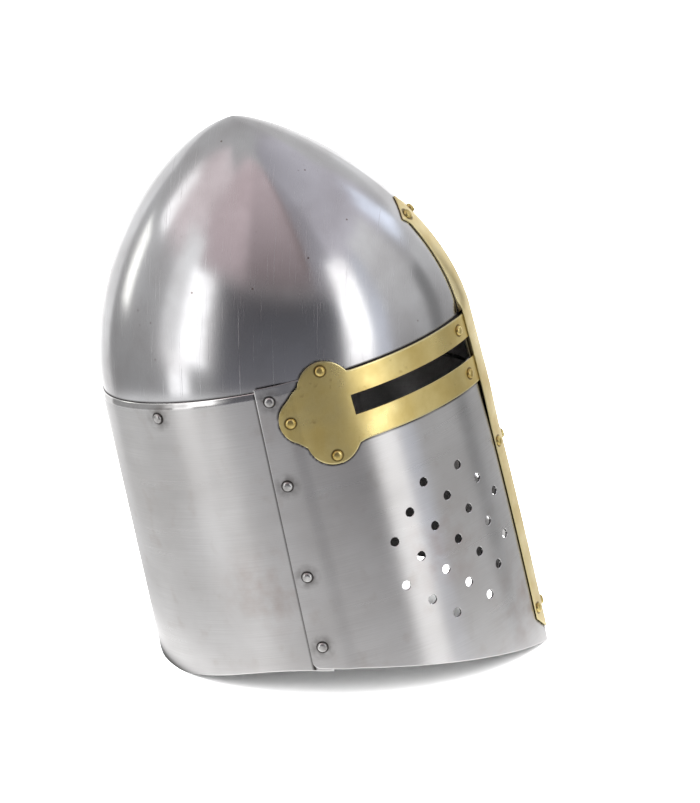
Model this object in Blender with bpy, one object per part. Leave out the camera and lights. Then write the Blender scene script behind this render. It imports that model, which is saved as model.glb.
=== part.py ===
"""Great helm: a pointed steel skull riveted inside a back plate and a keeled face plate,
with a brass sight band in two halves that meet on the keel, under a brass strip.

The helm is shaped in its own upright frame and then leaned back until the foot of the
back plate and the tip of the keel both stand on the ground.
In that frame f runs forward, s runs to the wearer's right and u runs up the helm,
from the ring where the skull meets the plates. All sizes here are millimetres.
"""
import math

import bpy
import numpy as np

# Plan of the helm at the ring where the skull meets the plates
FRONT_REACH = 138.0
BACK_REACH = 142.0
HALF_WIDTH = 119.0
KEEL_CENTRE = 32.0

# Skull above the ring
SKULL_HEIGHT = 178.6
APEX_FORWARD = 2.9
APEX_DEPTH = 2.4
FRONT_PROFILE = (1.91, 1.23)
BACK_PROFILE = (1.71, 1.63)
SKIRT_DEPTH = 16.5

# Walls below the ring
WALL_DROP = 240.0
FRONT_SWELL = 1.8
SWELL_SPAN = 290.0
BACK_FLARE = 9.0
SIDE_FLARE = 4.6

# How the helm stands
LEAN_DEG = 11.4
RING_ABOVE_GROUND = 236.5

# Sheet and clearance
STEEL = 1.5
BRASS = 1.0
GAP = 0.3
FACET_ROOM = 0.2

# Back plate
LIP_HEIGHT = 4.5
LIP_SETBACK = 0.9
PLATE_OVERLAP = 13.2
BACK_RIM_RISE = 24.0
BACK_RIM_FLAT_DEG = 150.0
BACK_RIM_TOP_DEG = 90.0

# Face plate
SEAM_BEHIND_TOP = 6.0
SEAM_BEHIND_FOOT = 14.0
SEAM_CORNER = 5.0
FACE_EDGE_AT_SEAM = 2.9
FACE_EDGE_UNDER_BAND = -1.0
FACE_RIM_RISE = 25.0
CLOSING_RUN = 14.0

# Sight band: two halves, each with a three lobed end
BAND_TOP = -0.2
BAND_FOOT = -53.0
SLOT_TOP = -18.3
SLOT_FOOT = -33.4
SLOT_END_BEFORE_LOBES = 19.0
SLOT_START = 11.0
SLOT_MARGIN = 0.8
FACE_SLOT_START = 17.5
LOBES_BEFORE_SEAM = 49.5
LOBE_HUB_RADIUS = 29.5
SIDE_LOBE_RADIUS = 18.1
SIDE_LOBE_REACH = 18.1
END_LOBE_RADIUS = 18.6
END_LOBE_REACH = 19.2
END_LOBE_LEAN = 2.0
LOBE_BLEND = 8.0

# Face strip
STRIP_HALF_WIDTH = 14.0
STRIP_TIP = 94.0
STRIP_SHOULDER = 80.0
SHOULDER_HALF_WIDTH = 17.8
SHOULDER_FILLET = 7.0
STRIP_FOOT_ABOVE_RIM = 11.0
STRIP_POINT = 11.5
MIN_HALF_WIDTH = 0.25
STRIP_LEVEL_ABOVE_BAND = 5.8
STRIP_LEVEL_BELOW_BAND = 7.0
STRIP_DOWN_BELOW_BAND = 38.0

# Breaths in each cheek: a square grid without its corners, set cornerwise
BREATH_DIAMETER = 7.0
BREATH_PITCH = 24.5
BREATH_TURN_DEG = 44.8
BREATH_CENTRE = (83.9, -152.0)
BREATHS_A_SIDE = 5

# Rivets
HEAD_RADIUS = 3.75
HEAD_HEIGHT = 2.3
SHANK_RADIUS = 1.5
TAIL_RADIUS = 2.7
TAIL_HEIGHT = 0.9
SEAM_RIVET_INSET = 9.6
SEAM_RIVET_DROPS = (7.8, 72.4, 143.0, 198.0)
RING_RIVET_DROP = 11.0
RING_RIVET_DEG = (126.8, 180.0)
END_LOBE_RIVET_OUT = 12.8
SIDE_LOBE_RIVET_OUT = 10.0
BAND_RIVET_ARC = 26.5
STRIP_RIVET_SPREAD = 9.0
STRIP_RIVET_HEIGHTS = (80.2, -103.7, -239.5)

# How finely the sheets are faceted
FRONT_COLUMNS = 14
BACK_COLUMNS = 12
HOLE_SIDES = 8
RIVET_SIDES = 8
WALL_ROWS = 5

# Rows of the skull, in shares of its height
SKULL_ROWS = (0.08, 0.19, 0.31, 0.43, 0.55, 0.67, 0.79, 0.89, 0.96)

# Back plate's lip: share of its height below the ring, share of its setback
LIP_ROWS = ((0.0, 1.0), (0.25, 0.45), (1.0, 0.0))

# Columns beside the face plate's rear edge, in shares of its corner's radius
CORNER_INSETS = (2.0, 1.0, 0.55, 0.2, 0.0)

# Columns round the band's lobes: onwards from the middle of the lobes in shares of an
# end lobe's radius, and back from the end of the side lobe in shares of its own
LOBE_COLUMNS = (-1.13, -1.04, -0.9, -0.7, -0.42, -0.1, 0.2, 0.47, 0.69, 0.84, 0.96, 1.09, 1.22)
BAND_END_COLUMNS = (0.55, 0.3, 0.12, 0.03, 0.0014)

# Rows of the band, in shares of its width at each column
BAND_ROWS = (0.0, 0.3, 0.65, 1.0)

# Rows of the strip's spear tip, in shares of the way from the tip to the shoulder,
# and of the waist under it, in shares of the fillet
TIP_ROWS = (0.014, 0.35, 0.7, 1.0)
WAIST_ROWS = (0.2, 0.45, 0.75, 1.1)

# Columns of the strip, in shares of its half width
STRIP_COLUMNS = (-1.0, -0.6, 0.0, 0.6, 1.0)

# Climb of the strip from its tip to the band:
# height in shares of the tip's height, room in shares of its room over the band
STRIP_CLIMB = (
    (1.00, 0.15),
    (0.80, 0.26),
    (0.45, 0.59),
)

# Rivet from the crown of its head to the end of its tail, in shares of the head:
# radius of the dome's shoulder and height of the shoulder and the rim
DOME_SHOULDER = (0.62, 0.80)
DOME_RIM_HEIGHT = 0.12

MM = 0.001
PEG_REACH = 6.0
SLOT_REACH = 8.0
BAND_MIDDLE = 0.5 * (BAND_TOP + BAND_FOOT)
UNDER_SKULL = -STEEL - FACET_ROOM
BACK_OUTER = GAP + STEEL
STRIP_OVER_FACE = GAP + STEEL + GAP + FACET_ROOM
STRIP_OVER_BAND = GAP + STEEL + GAP + BRASS + GAP
COLUMNS = FRONT_COLUMNS + BACK_COLUMNS
THETA = np.radians(
    np.concatenate(
        [
            np.linspace(0.0, 90.0, FRONT_COLUMNS + 1),
            np.linspace(90.0, 180.0, BACK_COLUMNS + 1)[1:],
        ]
    )
)
LEAN = math.radians(LEAN_DEG)


def smooth(value, low, high):
    """A smooth step from 0 at low to 1 at high."""
    share = np.clip((np.asarray(value, float) - low) / (high - low), 0.0, 1.0)
    return share * share * (3.0 - 2.0 * share)


def plan(u):
    """Front reach, back reach, half width, keel centre and forward shift at height u.

    Below the ring the walls run nearly straight down. Above it each reach shrinks as
    (1 - v**q) ** (1 / p), where v is the share of the skull's height.
    """
    v = np.clip(u / SKULL_HEIGHT, 0.0, 0.9999)
    drop = np.clip(-u, 0.0, None)
    front = (1.0 - v ** FRONT_PROFILE[0]) ** (1.0 / FRONT_PROFILE[1])
    back = (1.0 - v ** BACK_PROFILE[0]) ** (1.0 / BACK_PROFILE[1])
    side = 0.5 * (front + back)
    front_reach = FRONT_REACH * front + FRONT_SWELL * np.sin(math.pi * drop / SWELL_SPAN)
    back_reach = BACK_REACH * back + BACK_FLARE * drop / WALL_DROP
    half_width = HALF_WIDTH * side + SIDE_FLARE * drop / WALL_DROP
    keel_centre = KEEL_CENTRE * side * (1.0 - v)
    return front_reach, back_reach, half_width, keel_centre, APEX_FORWARD * v


def outline(theta, u):
    """Points (f, s, u) of the right half of the skin, theta running from keel to back.

    The front half is an arc whose centre lies beyond the middle plane, stretched so that
    the two sides meet at the keel. The back half is half an ellipse.
    """
    front_reach, back_reach, half_width, keel_centre, shift = plan(u)
    sweep = np.arccos(keel_centre / (half_width + keel_centre))
    angle = sweep * np.clip(1.0 - 2.0 * theta / math.pi, 0.0, None)
    front_f = front_reach / np.sin(sweep) * np.sin(angle)
    front_s = (half_width + keel_centre) * np.cos(angle) - keel_centre
    back_f = back_reach * np.cos(theta)
    back_s = half_width * np.sin(theta)
    ahead = theta < math.pi / 2
    f = np.where(ahead, front_f, back_f) + shift
    return np.stack([f, np.where(ahead, front_s, back_s), u + 0.0 * theta], -1)


def outward(theta, u):
    """Outward direction of the skin, lengthened at the keel so both flanks move equally."""
    step = 1e-4
    ahead = np.minimum(theta + step, math.pi)
    behind = np.maximum(theta - step, 0.0)
    across = outline(ahead, u) - outline(behind, u)
    up = outline(theta, u + 0.01) - outline(theta, u - 0.01)
    normal = np.cross(across, up)
    normal /= np.linalg.norm(normal, axis=-1, keepdims=True)
    level = np.asarray(u) <= 0.0
    normal[level, 2] = 0.0
    at_keel = theta < step
    at_back = theta > math.pi - step
    normal[at_keel | at_back, 1] = 0.0
    length = np.sum(normal * normal, axis=-1, keepdims=True)
    return np.where((at_keel | at_back)[..., None], normal / length, normal)


def skin(column, u, offset):
    """Points on the faceted skin, moved out by offset.

    A column is a signed number of facets from the keel, positive on the wearer's right.
    Between two columns the skin is flat, so sheets with other edges still lie parallel.
    """
    column, u, offset = np.broadcast_arrays(column, u, offset)
    place = np.clip(np.abs(column), 0.0, COLUMNS)
    low = np.minimum(place.astype(int), COLUMNS - 1)
    share = (place - low)[..., None]
    near = outline(THETA[low], u) + offset[..., None] * outward(THETA[low], u)
    far = outline(THETA[low + 1], u) + offset[..., None] * outward(THETA[low + 1], u)
    points = near + share * (far - near)
    points[..., 1] *= np.where(column < 0, -1.0, 1.0)
    return points


def arc_table(u):
    """Length along the skin from the keel to each column, at one height."""
    ring = skin(np.arange(COLUMNS + 1), u, BACK_OUTER)
    steps = np.linalg.norm(np.diff(ring, axis=0), axis=1)
    return np.concatenate([[0.0], np.cumsum(steps)])


def column_at(arc, u):
    """Column that lies a given length along the skin from the keel, at one height."""
    return math.copysign(np.interp(abs(arc), arc_table(u), np.arange(COLUMNS + 1)), arc)


def arc_at(column, u):
    """Length along the skin from the keel to a column, at one height."""
    return float(np.interp(abs(column), np.arange(COLUMNS + 1), arc_table(u)))


def seam_column(u):
    """Column of the face plate's rear edge, which runs a little back towards the foot."""
    behind = SEAM_BEHIND_TOP + (SEAM_BEHIND_FOOT - SEAM_BEHIND_TOP) * -u / WALL_DROP
    ring = skin(np.arange(COLUMNS + 1), u, BACK_OUTER)
    return float(np.interp(behind, -ring[:, 0], np.arange(COLUMNS + 1)))


def lobe_centre():
    """Length along the skin from the keel to the middle of the lobes at the band's end."""
    return arc_at(seam_column(BAND_MIDDLE), BAND_MIDDLE) - LOBES_BEFORE_SEAM


def lap_column(u):
    """Column of the back plate's front edge, hidden under the face plate."""
    return column_at(arc_at(seam_column(u), u) - PLATE_OVERLAP, u)


def face_inner(column, u):
    """Room under the face plate: close to the skull in front, over the back plate behind.

    It is worked out at whole columns, so that the room is flat on every facet.
    """
    lap = math.floor(lap_column(0.0))
    run = CLOSING_RUN / arc_at(1.0, 0.0)
    whole = np.arange(COLUMNS + 1)
    room = GAP + BACK_OUTER * smooth(whole, lap - run, lap)
    return np.interp(np.abs(column), whole, room) + 0.0 * u


def face_outer(column, u):
    """Outer side of the face plate."""
    return face_inner(column, u) + STEEL


def band_inner(column, u):
    """Room under the brass band, which lies on the face plate."""
    return face_outer(column, u) + GAP


def band_outer(column, u):
    """Outer side of the brass band."""
    return band_inner(column, u) + BRASS


def back_outer(column, u):
    """Outer side of the back plate, below its lip."""
    return BACK_OUTER + 0.0 * u


def strip_bends():
    """Heights where the strip levels out over the band, leaves it and meets the face."""
    return [
        BAND_TOP + STRIP_LEVEL_ABOVE_BAND,
        BAND_FOOT - STRIP_LEVEL_BELOW_BAND,
        BAND_FOOT - STRIP_DOWN_BELOW_BAND,
    ]


def strip_inner(column, u):
    """Room under the face strip, which bridges from the skull over the band to the face."""
    heights = [share * STRIP_TIP for share, _ in STRIP_CLIMB] + strip_bends()
    rooms = [share * STRIP_OVER_BAND for _, share in STRIP_CLIMB]
    rooms += [STRIP_OVER_BAND, STRIP_OVER_BAND, STRIP_OVER_FACE]
    return np.interp(-u, -np.array(heights), rooms) + 0.0 * column


def strip_outer(column, u):
    """Outer side of the face strip."""
    return strip_inner(column, u) + BRASS


def ground(column, offset):
    """Height of the ground under a column, in the helm's frame."""
    u = -RING_ABOVE_GROUND
    for _ in range(6):
        f = skin(column, u, offset)[..., 0]
        u = (-RING_ABOVE_GROUND - f * math.sin(LEAN)) / math.cos(LEAN)
    return u


def degrees_at(column):
    """Angle round the helm of a column."""
    return np.degrees(np.interp(np.abs(column), np.arange(COLUMNS + 1), THETA))


def back_rim(column, offset):
    """Foot of the back plate: flat on the ground behind, arched up towards the seams."""
    rise = 1.0 - smooth(degrees_at(column), BACK_RIM_TOP_DEG, BACK_RIM_FLAT_DEG)
    return ground(column, offset) + BACK_RIM_RISE * rise


def face_rim(column, offset):
    """Foot of the face plate: on the ground at the keel, rising towards the seams."""
    turn = np.radians(np.minimum(degrees_at(column), 90.0))
    return ground(column, offset) + FACE_RIM_RISE * np.sin(turn)


def stand(points):
    """Helm frame to standing frame: lean back, face towards -Y, wearer's right to -X."""
    f, s, u = points[..., 0], points[..., 1], points[..., 2]
    forward = f * math.cos(LEAN) - u * math.sin(LEAN)
    up = f * math.sin(LEAN) + u * math.cos(LEAN) + RING_ABOVE_GROUND
    return np.stack([-s, -forward, up], -1) * MM


def material(name, colour, metallic, roughness):
    """A plain Principled material."""
    made = bpy.data.materials.new(name)
    made.use_nodes = True
    shader = made.node_tree.nodes["Principled BSDF"]
    shader.inputs["Base Color"].default_value = (*colour, 1.0)
    shader.inputs["Metallic"].default_value = metallic
    shader.inputs["Roughness"].default_value = roughness
    return made


def add_object(name, points, faces, finish=None, smooth_angle=None):
    """A mesh object from helm frame points, stood up in place."""
    mesh = bpy.data.meshes.new(name)
    mesh.from_pydata(stand(np.asarray(points)).tolist(), [], faces)
    mesh.validate()
    mesh.update()
    if finish:
        mesh.materials.append(finish)
    if smooth_angle:
        mesh.shade_smooth()
        mesh.set_sharp_from_angle(angle=math.radians(smooth_angle))
    made = bpy.data.objects.new(name, mesh)
    bpy.context.scene.collection.objects.link(made)
    return made


def grid_faces(rows, columns, start, flip):
    """Quads of a grid of points numbered row by row."""
    faces = []
    for i in range(rows - 1):
        for j in range(columns - 1):
            a = start + i * columns + j
            quad = (a, a + 1, a + columns + 1, a + columns)
            faces.append(quad[::-1] if flip else quad)
    return faces


def sheet(name, column, u, inner, outer, finish=None, inner_u=None):
    """A closed sheet: one grid of points outside, one inside and a wall round the edge."""
    rows, columns = column.shape
    top = skin(column, u, outer).reshape(-1, 3)
    under = skin(column, u if inner_u is None else inner_u, inner).reshape(-1, 3)
    count = rows * columns
    edge = list(range(columns))
    edge += [i * columns + columns - 1 for i in range(1, rows)]
    edge += [(rows - 1) * columns + j for j in range(columns - 2, -1, -1)]
    edge += [i * columns for i in range(rows - 2, 0, -1)]
    faces = grid_faces(rows, columns, 0, False) + grid_faces(rows, columns, count, True)
    for a, b in zip(edge, edge[1:] + edge[:1]):
        faces.append((b, a, a + count, b + count))
    made = add_object(name, np.concatenate([top, under]), faces, finish, 30.0)
    face_out(made)
    return made


def face_out(made):
    """Turn a closed mesh whose faces point inwards the right way round."""
    mesh = made.data
    mesh.calc_loop_triangles()
    points = np.array([vertex.co for vertex in mesh.vertices])
    triangles = np.array([triangle.vertices for triangle in mesh.loop_triangles])
    if np.linalg.det(points[triangles]).sum() < 0:
        mesh.flip_normals()


def cut(target, cutters):
    """Cut every shape of one group out of a sheet."""
    for cutter in cutters:
        modifier = target.modifiers.new(cutter.name, "BOOLEAN")
        modifier.operation = "DIFFERENCE"
        modifier.solver = "EXACT"
        modifier.object = cutter
        cutter.hide_render = True
        cutter.display_type = "WIRE"


def local_frame(arc, u):
    """Point on the skin, its outward direction and two directions along the skin."""
    column = column_at(arc, u)
    here = skin(column, u, 0.0)
    axis = skin(column, u, 1.0) - here
    axis /= np.linalg.norm(axis)
    up = np.array([0.0, 0.0, 1.0])
    up = up - axis * up.dot(axis)
    up /= np.linalg.norm(up)
    return here, axis, up, np.cross(axis, up)


def turned(profile, arc, u, sides):
    """Points and faces of a turned shape standing out of the skin.

    The profile lists (radius, height) from the outer pole to the inner pole.
    """
    here, axis, up, across = local_frame(arc, u)
    angles = 2.0 * math.pi * (np.arange(sides) + 0.5) / sides
    ring = np.cos(angles)[:, None] * up + np.sin(angles)[:, None] * across
    points = [here + axis * profile[0][1]]
    for radius, height in profile[1:-1]:
        points.extend(here + axis * height + ring * radius)
    points.append(here + axis * profile[-1][1])
    last = len(points) - 1
    faces = []
    for j in range(sides):
        k = (j + 1) % sides
        faces.append((0, 1 + j, 1 + k))
        for i in range(len(profile) - 3):
            a = 1 + i * sides
            faces.append((a + j, a + sides + j, a + sides + k, a + k))
        end = last - sides
        faces.append((end + j, last, end + k))
    return np.array(points), faces


def hole_cutter(name, places, radius):
    """One cutter made of straight round pegs, one at each (arc, height)."""
    points = []
    faces = []
    for arc, u in places:
        profile = ((0.0, PEG_REACH), (radius, PEG_REACH), (radius, -PEG_REACH), (0.0, -PEG_REACH))
        peg, sides = turned(profile, arc, u, HOLE_SIDES)
        faces += [tuple(index + len(points) for index in face) for face in sides]
        points.extend(peg)
    made = add_object(name, points, faces)
    face_out(made)
    return made


def slot_cutter(name, side, start, end, foot, top):
    """A bent bar that follows the face and cuts one sight."""
    low = column_at(start, BAND_TOP)
    high = column_at(end, BAND_TOP)
    between = np.arange(math.ceil(low + 0.1), math.floor(high - 0.1) + 1)
    columns = side * np.concatenate([[low], between, [high]])
    column, u = np.meshgrid(columns, [foot, top])
    return sheet(name, column, u, 0.0 * u - SLOT_REACH, 0.0 * u + SLOT_REACH)


def both_sides(places):
    """Each (arc, height) and its mirror image across the keel."""
    return [(side * arc, u) for arc, u in places for side in (1, -1)]


def make_skull(finish):
    """Pointed skull with a skirt that reaches down inside the plates."""
    heights = np.array([-SKIRT_DEPTH, 0.0] + [share * SKULL_HEIGHT for share in SKULL_ROWS])
    round_columns = np.concatenate([np.arange(0, COLUMNS + 1), np.arange(-COLUMNS + 1, 0)])
    column, u = np.meshgrid(round_columns.astype(float), heights)
    count = len(round_columns)
    rows = len(heights)
    outer = skin(column, u, 0.0).reshape(-1, 3)
    inner = skin(column, u, -STEEL).reshape(-1, 3)
    apex = [[APEX_FORWARD, 0.0, SKULL_HEIGHT], [APEX_FORWARD, 0.0, SKULL_HEIGHT - APEX_DEPTH]]
    points = np.concatenate([outer, inner, apex])
    top = 2 * rows * count
    faces = []
    for j in range(count):
        k = (j + 1) % count
        for i in range(rows - 1):
            a, b = i * count + j, i * count + k
            faces.append((a, b, b + count, a + count))
            a, b = a + rows * count, b + rows * count
            faces.append((b, a, a + count, b + count))
        a, b = (rows - 1) * count + j, (rows - 1) * count + k
        faces.append((a, b, top))
        faces.append((b + rows * count, a + rows * count, top + 1))
        faces.append((k, j, j + rows * count, k + rows * count))
    made = add_object("skull", points, faces, finish, 30.0)
    face_out(made)
    return made


def make_back_plate(finish):
    """Back plate: a bevelled lip at the ring, a wall and an arched foot."""
    laps = lap_column(0.0)
    inside = np.arange(math.ceil(laps + 0.2), COLUMNS + 1).astype(float)
    shares = np.linspace(0.0, 1.0, WALL_ROWS)[1:]
    rows = []

    def add_row(height, share, setback):
        columns = np.concatenate([[lap_column(height)], inside])
        outer_foot = back_rim(columns, BACK_OUTER)
        inner_foot = back_rim(columns, GAP)
        outer_u = height + share * (outer_foot - height)
        inner_u = height + share * (inner_foot - height)
        outer = np.full(len(columns), BACK_OUTER - setback)
        row = np.stack([columns, outer_u, inner_u, outer])
        mirrored = row[:, ::-1][:, 1:] * np.array([-1.0, 1.0, 1.0, 1.0])[:, None]
        rows.append(np.concatenate([row, mirrored], axis=1))

    for down, back in LIP_ROWS:
        add_row(-down * LIP_HEIGHT, 0.0, back * LIP_SETBACK)
    for share in shares:
        add_row(-LIP_HEIGHT, share, 0.0)
    column, u, inner_u, outer = np.stack(rows, axis=1)
    return sheet("back_plate", column, u, 0.0 * outer + GAP, outer, finish, inner_u)


def face_edge(column):
    """Upper edge of the face plate: proud of the ring at the seams, low under the band."""
    low = column_at(lobe_centre() - END_LOBE_RADIUS, 0.0)
    high = column_at(lobe_centre() + END_LOBE_RADIUS, 0.0)
    rise = FACE_EDGE_AT_SEAM - FACE_EDGE_UNDER_BAND
    return FACE_EDGE_UNDER_BAND + rise * smooth(np.abs(column), low, high)


def make_face_plate(finish):
    """Face plate: folded at the keel, lapped over the back plate, round at its low corners."""
    last_whole = math.floor(seam_column(0.0) - 1.0)
    shares = np.linspace(0.0, 1.0, WALL_ROWS + 1)
    insets = [share * SEAM_CORNER for share in CORNER_INSETS]
    whole = np.arange(0, last_whole + 1).astype(float)
    rows = []
    for share in shares:
        guess = FACE_EDGE_AT_SEAM - share * (FACE_EDGE_AT_SEAM + WALL_DROP - FACE_RIM_RISE)
        seam_arc = arc_at(seam_column(guess), guess)
        edge = np.array([column_at(seam_arc - inset, guess) for inset in insets])
        columns = np.concatenate([whole, edge])
        top = face_edge(columns)
        inset_all = np.concatenate([np.full(len(whole), SEAM_CORNER), insets])
        bite = np.clip(1.0 - inset_all / SEAM_CORNER, 0.0, 1.0)
        corner = SEAM_CORNER * (1.0 - np.sqrt(1.0 - bite * bite))
        feet = [face_rim(columns, side(columns, 0.0)) for side in (face_outer, face_inner)]
        outer_u, inner_u = [top + share * (foot + corner - top) for foot in feet]
        row = np.stack([columns, outer_u, inner_u])
        mirrored = row[:, ::-1][:, :-1] * np.array([-1.0, 1.0, 1.0])[:, None]
        rows.append(np.concatenate([mirrored, row], axis=1))
    column, u, inner_u = np.stack(rows, axis=1)
    inner = face_inner(column, u)
    return sheet("face_plate", column, u, inner, inner + STEEL, finish, inner_u)


def lobe_edge(arc, sign):
    """Upper (sign 1) or lower (sign -1) edge of the band at a length from the keel.

    It is a soft maximum of the band's own edge, the round lobes of its end and a hub.
    The upper lobe leans a little forward and the lower one a little back.
    """
    arc_from_lobe = arc - lobe_centre()
    arc_from_end = arc_from_lobe + sign * END_LOBE_LEAN
    arc_from_side = arc_from_lobe - SIDE_LOBE_REACH
    straight = np.where(arc_from_lobe < 0.0, 0.5 * (BAND_TOP - BAND_FOOT), 0.0)
    end = np.sqrt(np.clip(END_LOBE_RADIUS**2 - arc_from_end**2, 0.0, None))
    end_height = np.where(end > 0.0, END_LOBE_REACH + end, 0.0)
    side = np.sqrt(np.clip(SIDE_LOBE_RADIUS**2 - arc_from_side**2, 0.0, None))
    hub = np.sqrt(np.clip(LOBE_HUB_RADIUS**2 - arc_from_lobe**2, 0.0, None))
    parts = np.stack([straight, end_height, side, hub])
    height = np.sum(parts**LOBE_BLEND, axis=0) ** (1.0 / LOBE_BLEND)
    return BAND_MIDDLE + sign * height


def make_sight_band(name, side_sign, finish):
    """One half of the brass band, from its butt joint on the keel to the lobes at its end."""
    band_end = lobe_centre() + SIDE_LOBE_REACH + SIDE_LOBE_RADIUS
    marks = [lobe_centre() + share * END_LOBE_RADIUS for share in LOBE_COLUMNS]
    marks += [band_end - share * SIDE_LOBE_RADIUS for share in BAND_END_COLUMNS]
    special = np.array([column_at(mark, BAND_MIDDLE) for mark in marks])
    whole = np.arange(1, math.floor(special[-1]) + 1).astype(float)
    keep = [value for value in whole if np.abs(special - value).min() > 0.12]
    joint = column_at(0.5 * GAP, BAND_MIDDLE)
    columns = np.sort(np.concatenate([[joint], keep, special]))
    arcs = np.array([arc_at(value, BAND_MIDDLE) for value in columns])
    upper = lobe_edge(arcs, 1.0)
    lower = lobe_edge(arcs, -1.0)
    shares = np.array(BAND_ROWS)[:, None]
    u = lower + shares * (upper - lower)
    column = side_sign * np.tile(columns, (len(shares), 1))
    return sheet(name, column, u, band_inner(column, u), band_outer(column, u), finish)


def strip_half_width(u, foot):
    """Half width of the strip: a spear tip, a waist, a long straight run, a pointed foot."""
    tip = SHOULDER_HALF_WIDTH * (STRIP_TIP - u) / (STRIP_TIP - STRIP_SHOULDER)
    waist = smooth(u, STRIP_SHOULDER - SHOULDER_FILLET, STRIP_SHOULDER)
    run = STRIP_HALF_WIDTH + (SHOULDER_HALF_WIDTH - STRIP_HALF_WIDTH) * waist**2
    point = STRIP_HALF_WIDTH * (u - foot) / STRIP_POINT
    return np.clip(np.minimum(np.minimum(tip, run), point), MIN_HALF_WIDTH, None)


def make_face_strip(finish):
    """Brass strip folded along the keel, from high on the skull down to the chin."""
    foot = float(face_rim(np.array(0.0), GAP)) + STRIP_FOOT_ABOVE_RIM
    waist = STRIP_SHOULDER - WAIST_ROWS[-1] * SHOULDER_FILLET
    bends = strip_bends()
    heights = [STRIP_TIP - share * (STRIP_TIP - STRIP_SHOULDER) for share in TIP_ROWS]
    heights += [STRIP_SHOULDER - share * SHOULDER_FILLET for share in WAIST_ROWS]
    on_skull = [share * SKULL_HEIGHT for share in SKULL_ROWS[::-1]]
    heights += [height for height in on_skull if bends[0] < height < waist]
    heights += [bends[0], 0.0, BAND_MIDDLE] + bends[1:]
    heights += list(np.linspace(bends[2], foot + STRIP_POINT, WALL_ROWS + 1)[1:])
    heights += [foot + 0.5 * STRIP_POINT, foot + MIN_HALF_WIDTH]
    column_rows = []
    for height in heights:
        width = float(strip_half_width(np.array(height), foot))
        arcs = width * np.array(STRIP_COLUMNS)
        column_rows.append([column_at(arc, height) for arc in arcs])
    column = np.array(column_rows)
    u = np.repeat(np.array(heights)[:, None], column.shape[1], axis=1)
    inner = strip_inner(column, u)
    outer = strip_outer(column, u)
    return sheet("face_strip", column, u, inner, outer, finish)


def breath_places():
    """Arc and height of the breaths in one cheek, from the rows of the cornerwise grid."""
    turn = math.radians(BREATH_TURN_DEG)
    half = (BREATHS_A_SIDE - 1) / 2
    places = []
    for i in range(BREATHS_A_SIDE):
        for j in range(BREATHS_A_SIDE):
            if abs(i - half) == half and abs(j - half) == half:
                continue
            a = (j - half) * BREATH_PITCH
            b = (i - half) * BREATH_PITCH
            arc = BREATH_CENTRE[0] - (a * math.cos(turn) - b * math.sin(turn))
            places.append((arc, BREATH_CENTRE[1] - (a * math.sin(turn) + b * math.cos(turn))))
    return places


def add_rivet(name, arc, u, outer, inner, finish):
    """One rivet: a domed head over the outermost sheet and a small tail inside."""
    seat = outer + GAP
    tail = inner - GAP
    profile = (
        (0.0, seat + HEAD_HEIGHT),
        (DOME_SHOULDER[0] * HEAD_RADIUS, seat + DOME_SHOULDER[1] * HEAD_HEIGHT),
        (HEAD_RADIUS, seat + DOME_RIM_HEIGHT * HEAD_HEIGHT),
        (HEAD_RADIUS, seat),
        (SHANK_RADIUS, seat),
        (SHANK_RADIUS, tail),
        (TAIL_RADIUS, tail),
        (0.0, tail - TAIL_HEIGHT),
    )
    points, faces = turned(profile, arc, u, RIVET_SIDES)
    made = add_object(name, points, faces, finish, 40.0)
    face_out(made)


def rivet_plan():
    """Each rivet's name, place, the sheets it passes through from outside in, its metal."""
    upper_flange = 0.5 * (BAND_TOP + SLOT_TOP)
    lower_flange = 0.5 * (BAND_FOOT + SLOT_FOOT)
    rows = []
    for number, drop in enumerate(SEAM_RIVET_DROPS, 1):
        arc = arc_at(seam_column(-drop), -drop) - SEAM_RIVET_INSET
        through = ("face", "back", "skull") if drop < SKIRT_DEPTH else ("face", "back")
        rows.append(("seam_rivet_%d" % number, arc, -drop, through, "steel"))
    reach = END_LOBE_REACH + END_LOBE_RIVET_OUT
    lobes = lobe_centre()
    rear = lobes + SIDE_LOBE_REACH + SIDE_LOBE_RIVET_OUT
    on_face = ("band", "face")
    top = lobes - END_LOBE_LEAN
    low = lobes + END_LOBE_LEAN
    rows.append(("lobe_rivet_top", top, BAND_MIDDLE + reach, ("band", "skull"), "brass"))
    rows.append(("lobe_rivet_rear", rear, BAND_MIDDLE, on_face, "brass"))
    rows.append(("lobe_rivet_low", low, BAND_MIDDLE - reach, on_face, "brass"))
    through = ("band", "face", "skull")
    rows.append(("band_rivet_upper", BAND_RIVET_ARC, upper_flange, through, "brass"))
    rows.append(("band_rivet_lower", BAND_RIVET_ARC, lower_flange, on_face, "brass"))
    for number, height in enumerate(STRIP_RIVET_HEIGHTS, 1):
        through = ("strip", "skull") if height > 0 else ("strip", "face")
        name = "strip_rivet_%d" % number
        rows.append((name, STRIP_RIVET_SPREAD, height, through, "brass"))
    for number, angle in enumerate(RING_RIVET_DEG, 1):
        column = float(np.interp(math.radians(angle), THETA, np.arange(COLUMNS + 1)))
        arc = arc_at(column, -RING_RIVET_DROP)
        name = "ring_rivet_%d" % number
        rows.append((name, arc, -RING_RIVET_DROP, ("back", "skull"), "steel"))
    return rows


def seat_height(side_of_sheet, arc, u, radius, pick):
    """Highest (pick max) or lowest (pick min) stand of a sheet under a rivet's rim."""
    spots = [(arc, u), (arc - radius, u), (arc + radius, u), (arc, u - radius), (arc, u + radius)]
    return pick(float(side_of_sheet(column_at(a, b), np.array(b))) for a, b in spots)


def centre_on_origin():
    """Put the middle of the footprint's box over the origin."""
    shown = [item for item in bpy.data.objects if item.type == "MESH" and not item.hide_render]
    corners = np.concatenate([np.array([vertex.co for vertex in item.data.vertices]) for item in shown])
    middle = 0.5 * (corners.min(0) + corners.max(0))
    for item in bpy.data.objects:
        for vertex in item.data.vertices:
            vertex.co.x -= middle[0]
            vertex.co.y -= middle[1]


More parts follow.
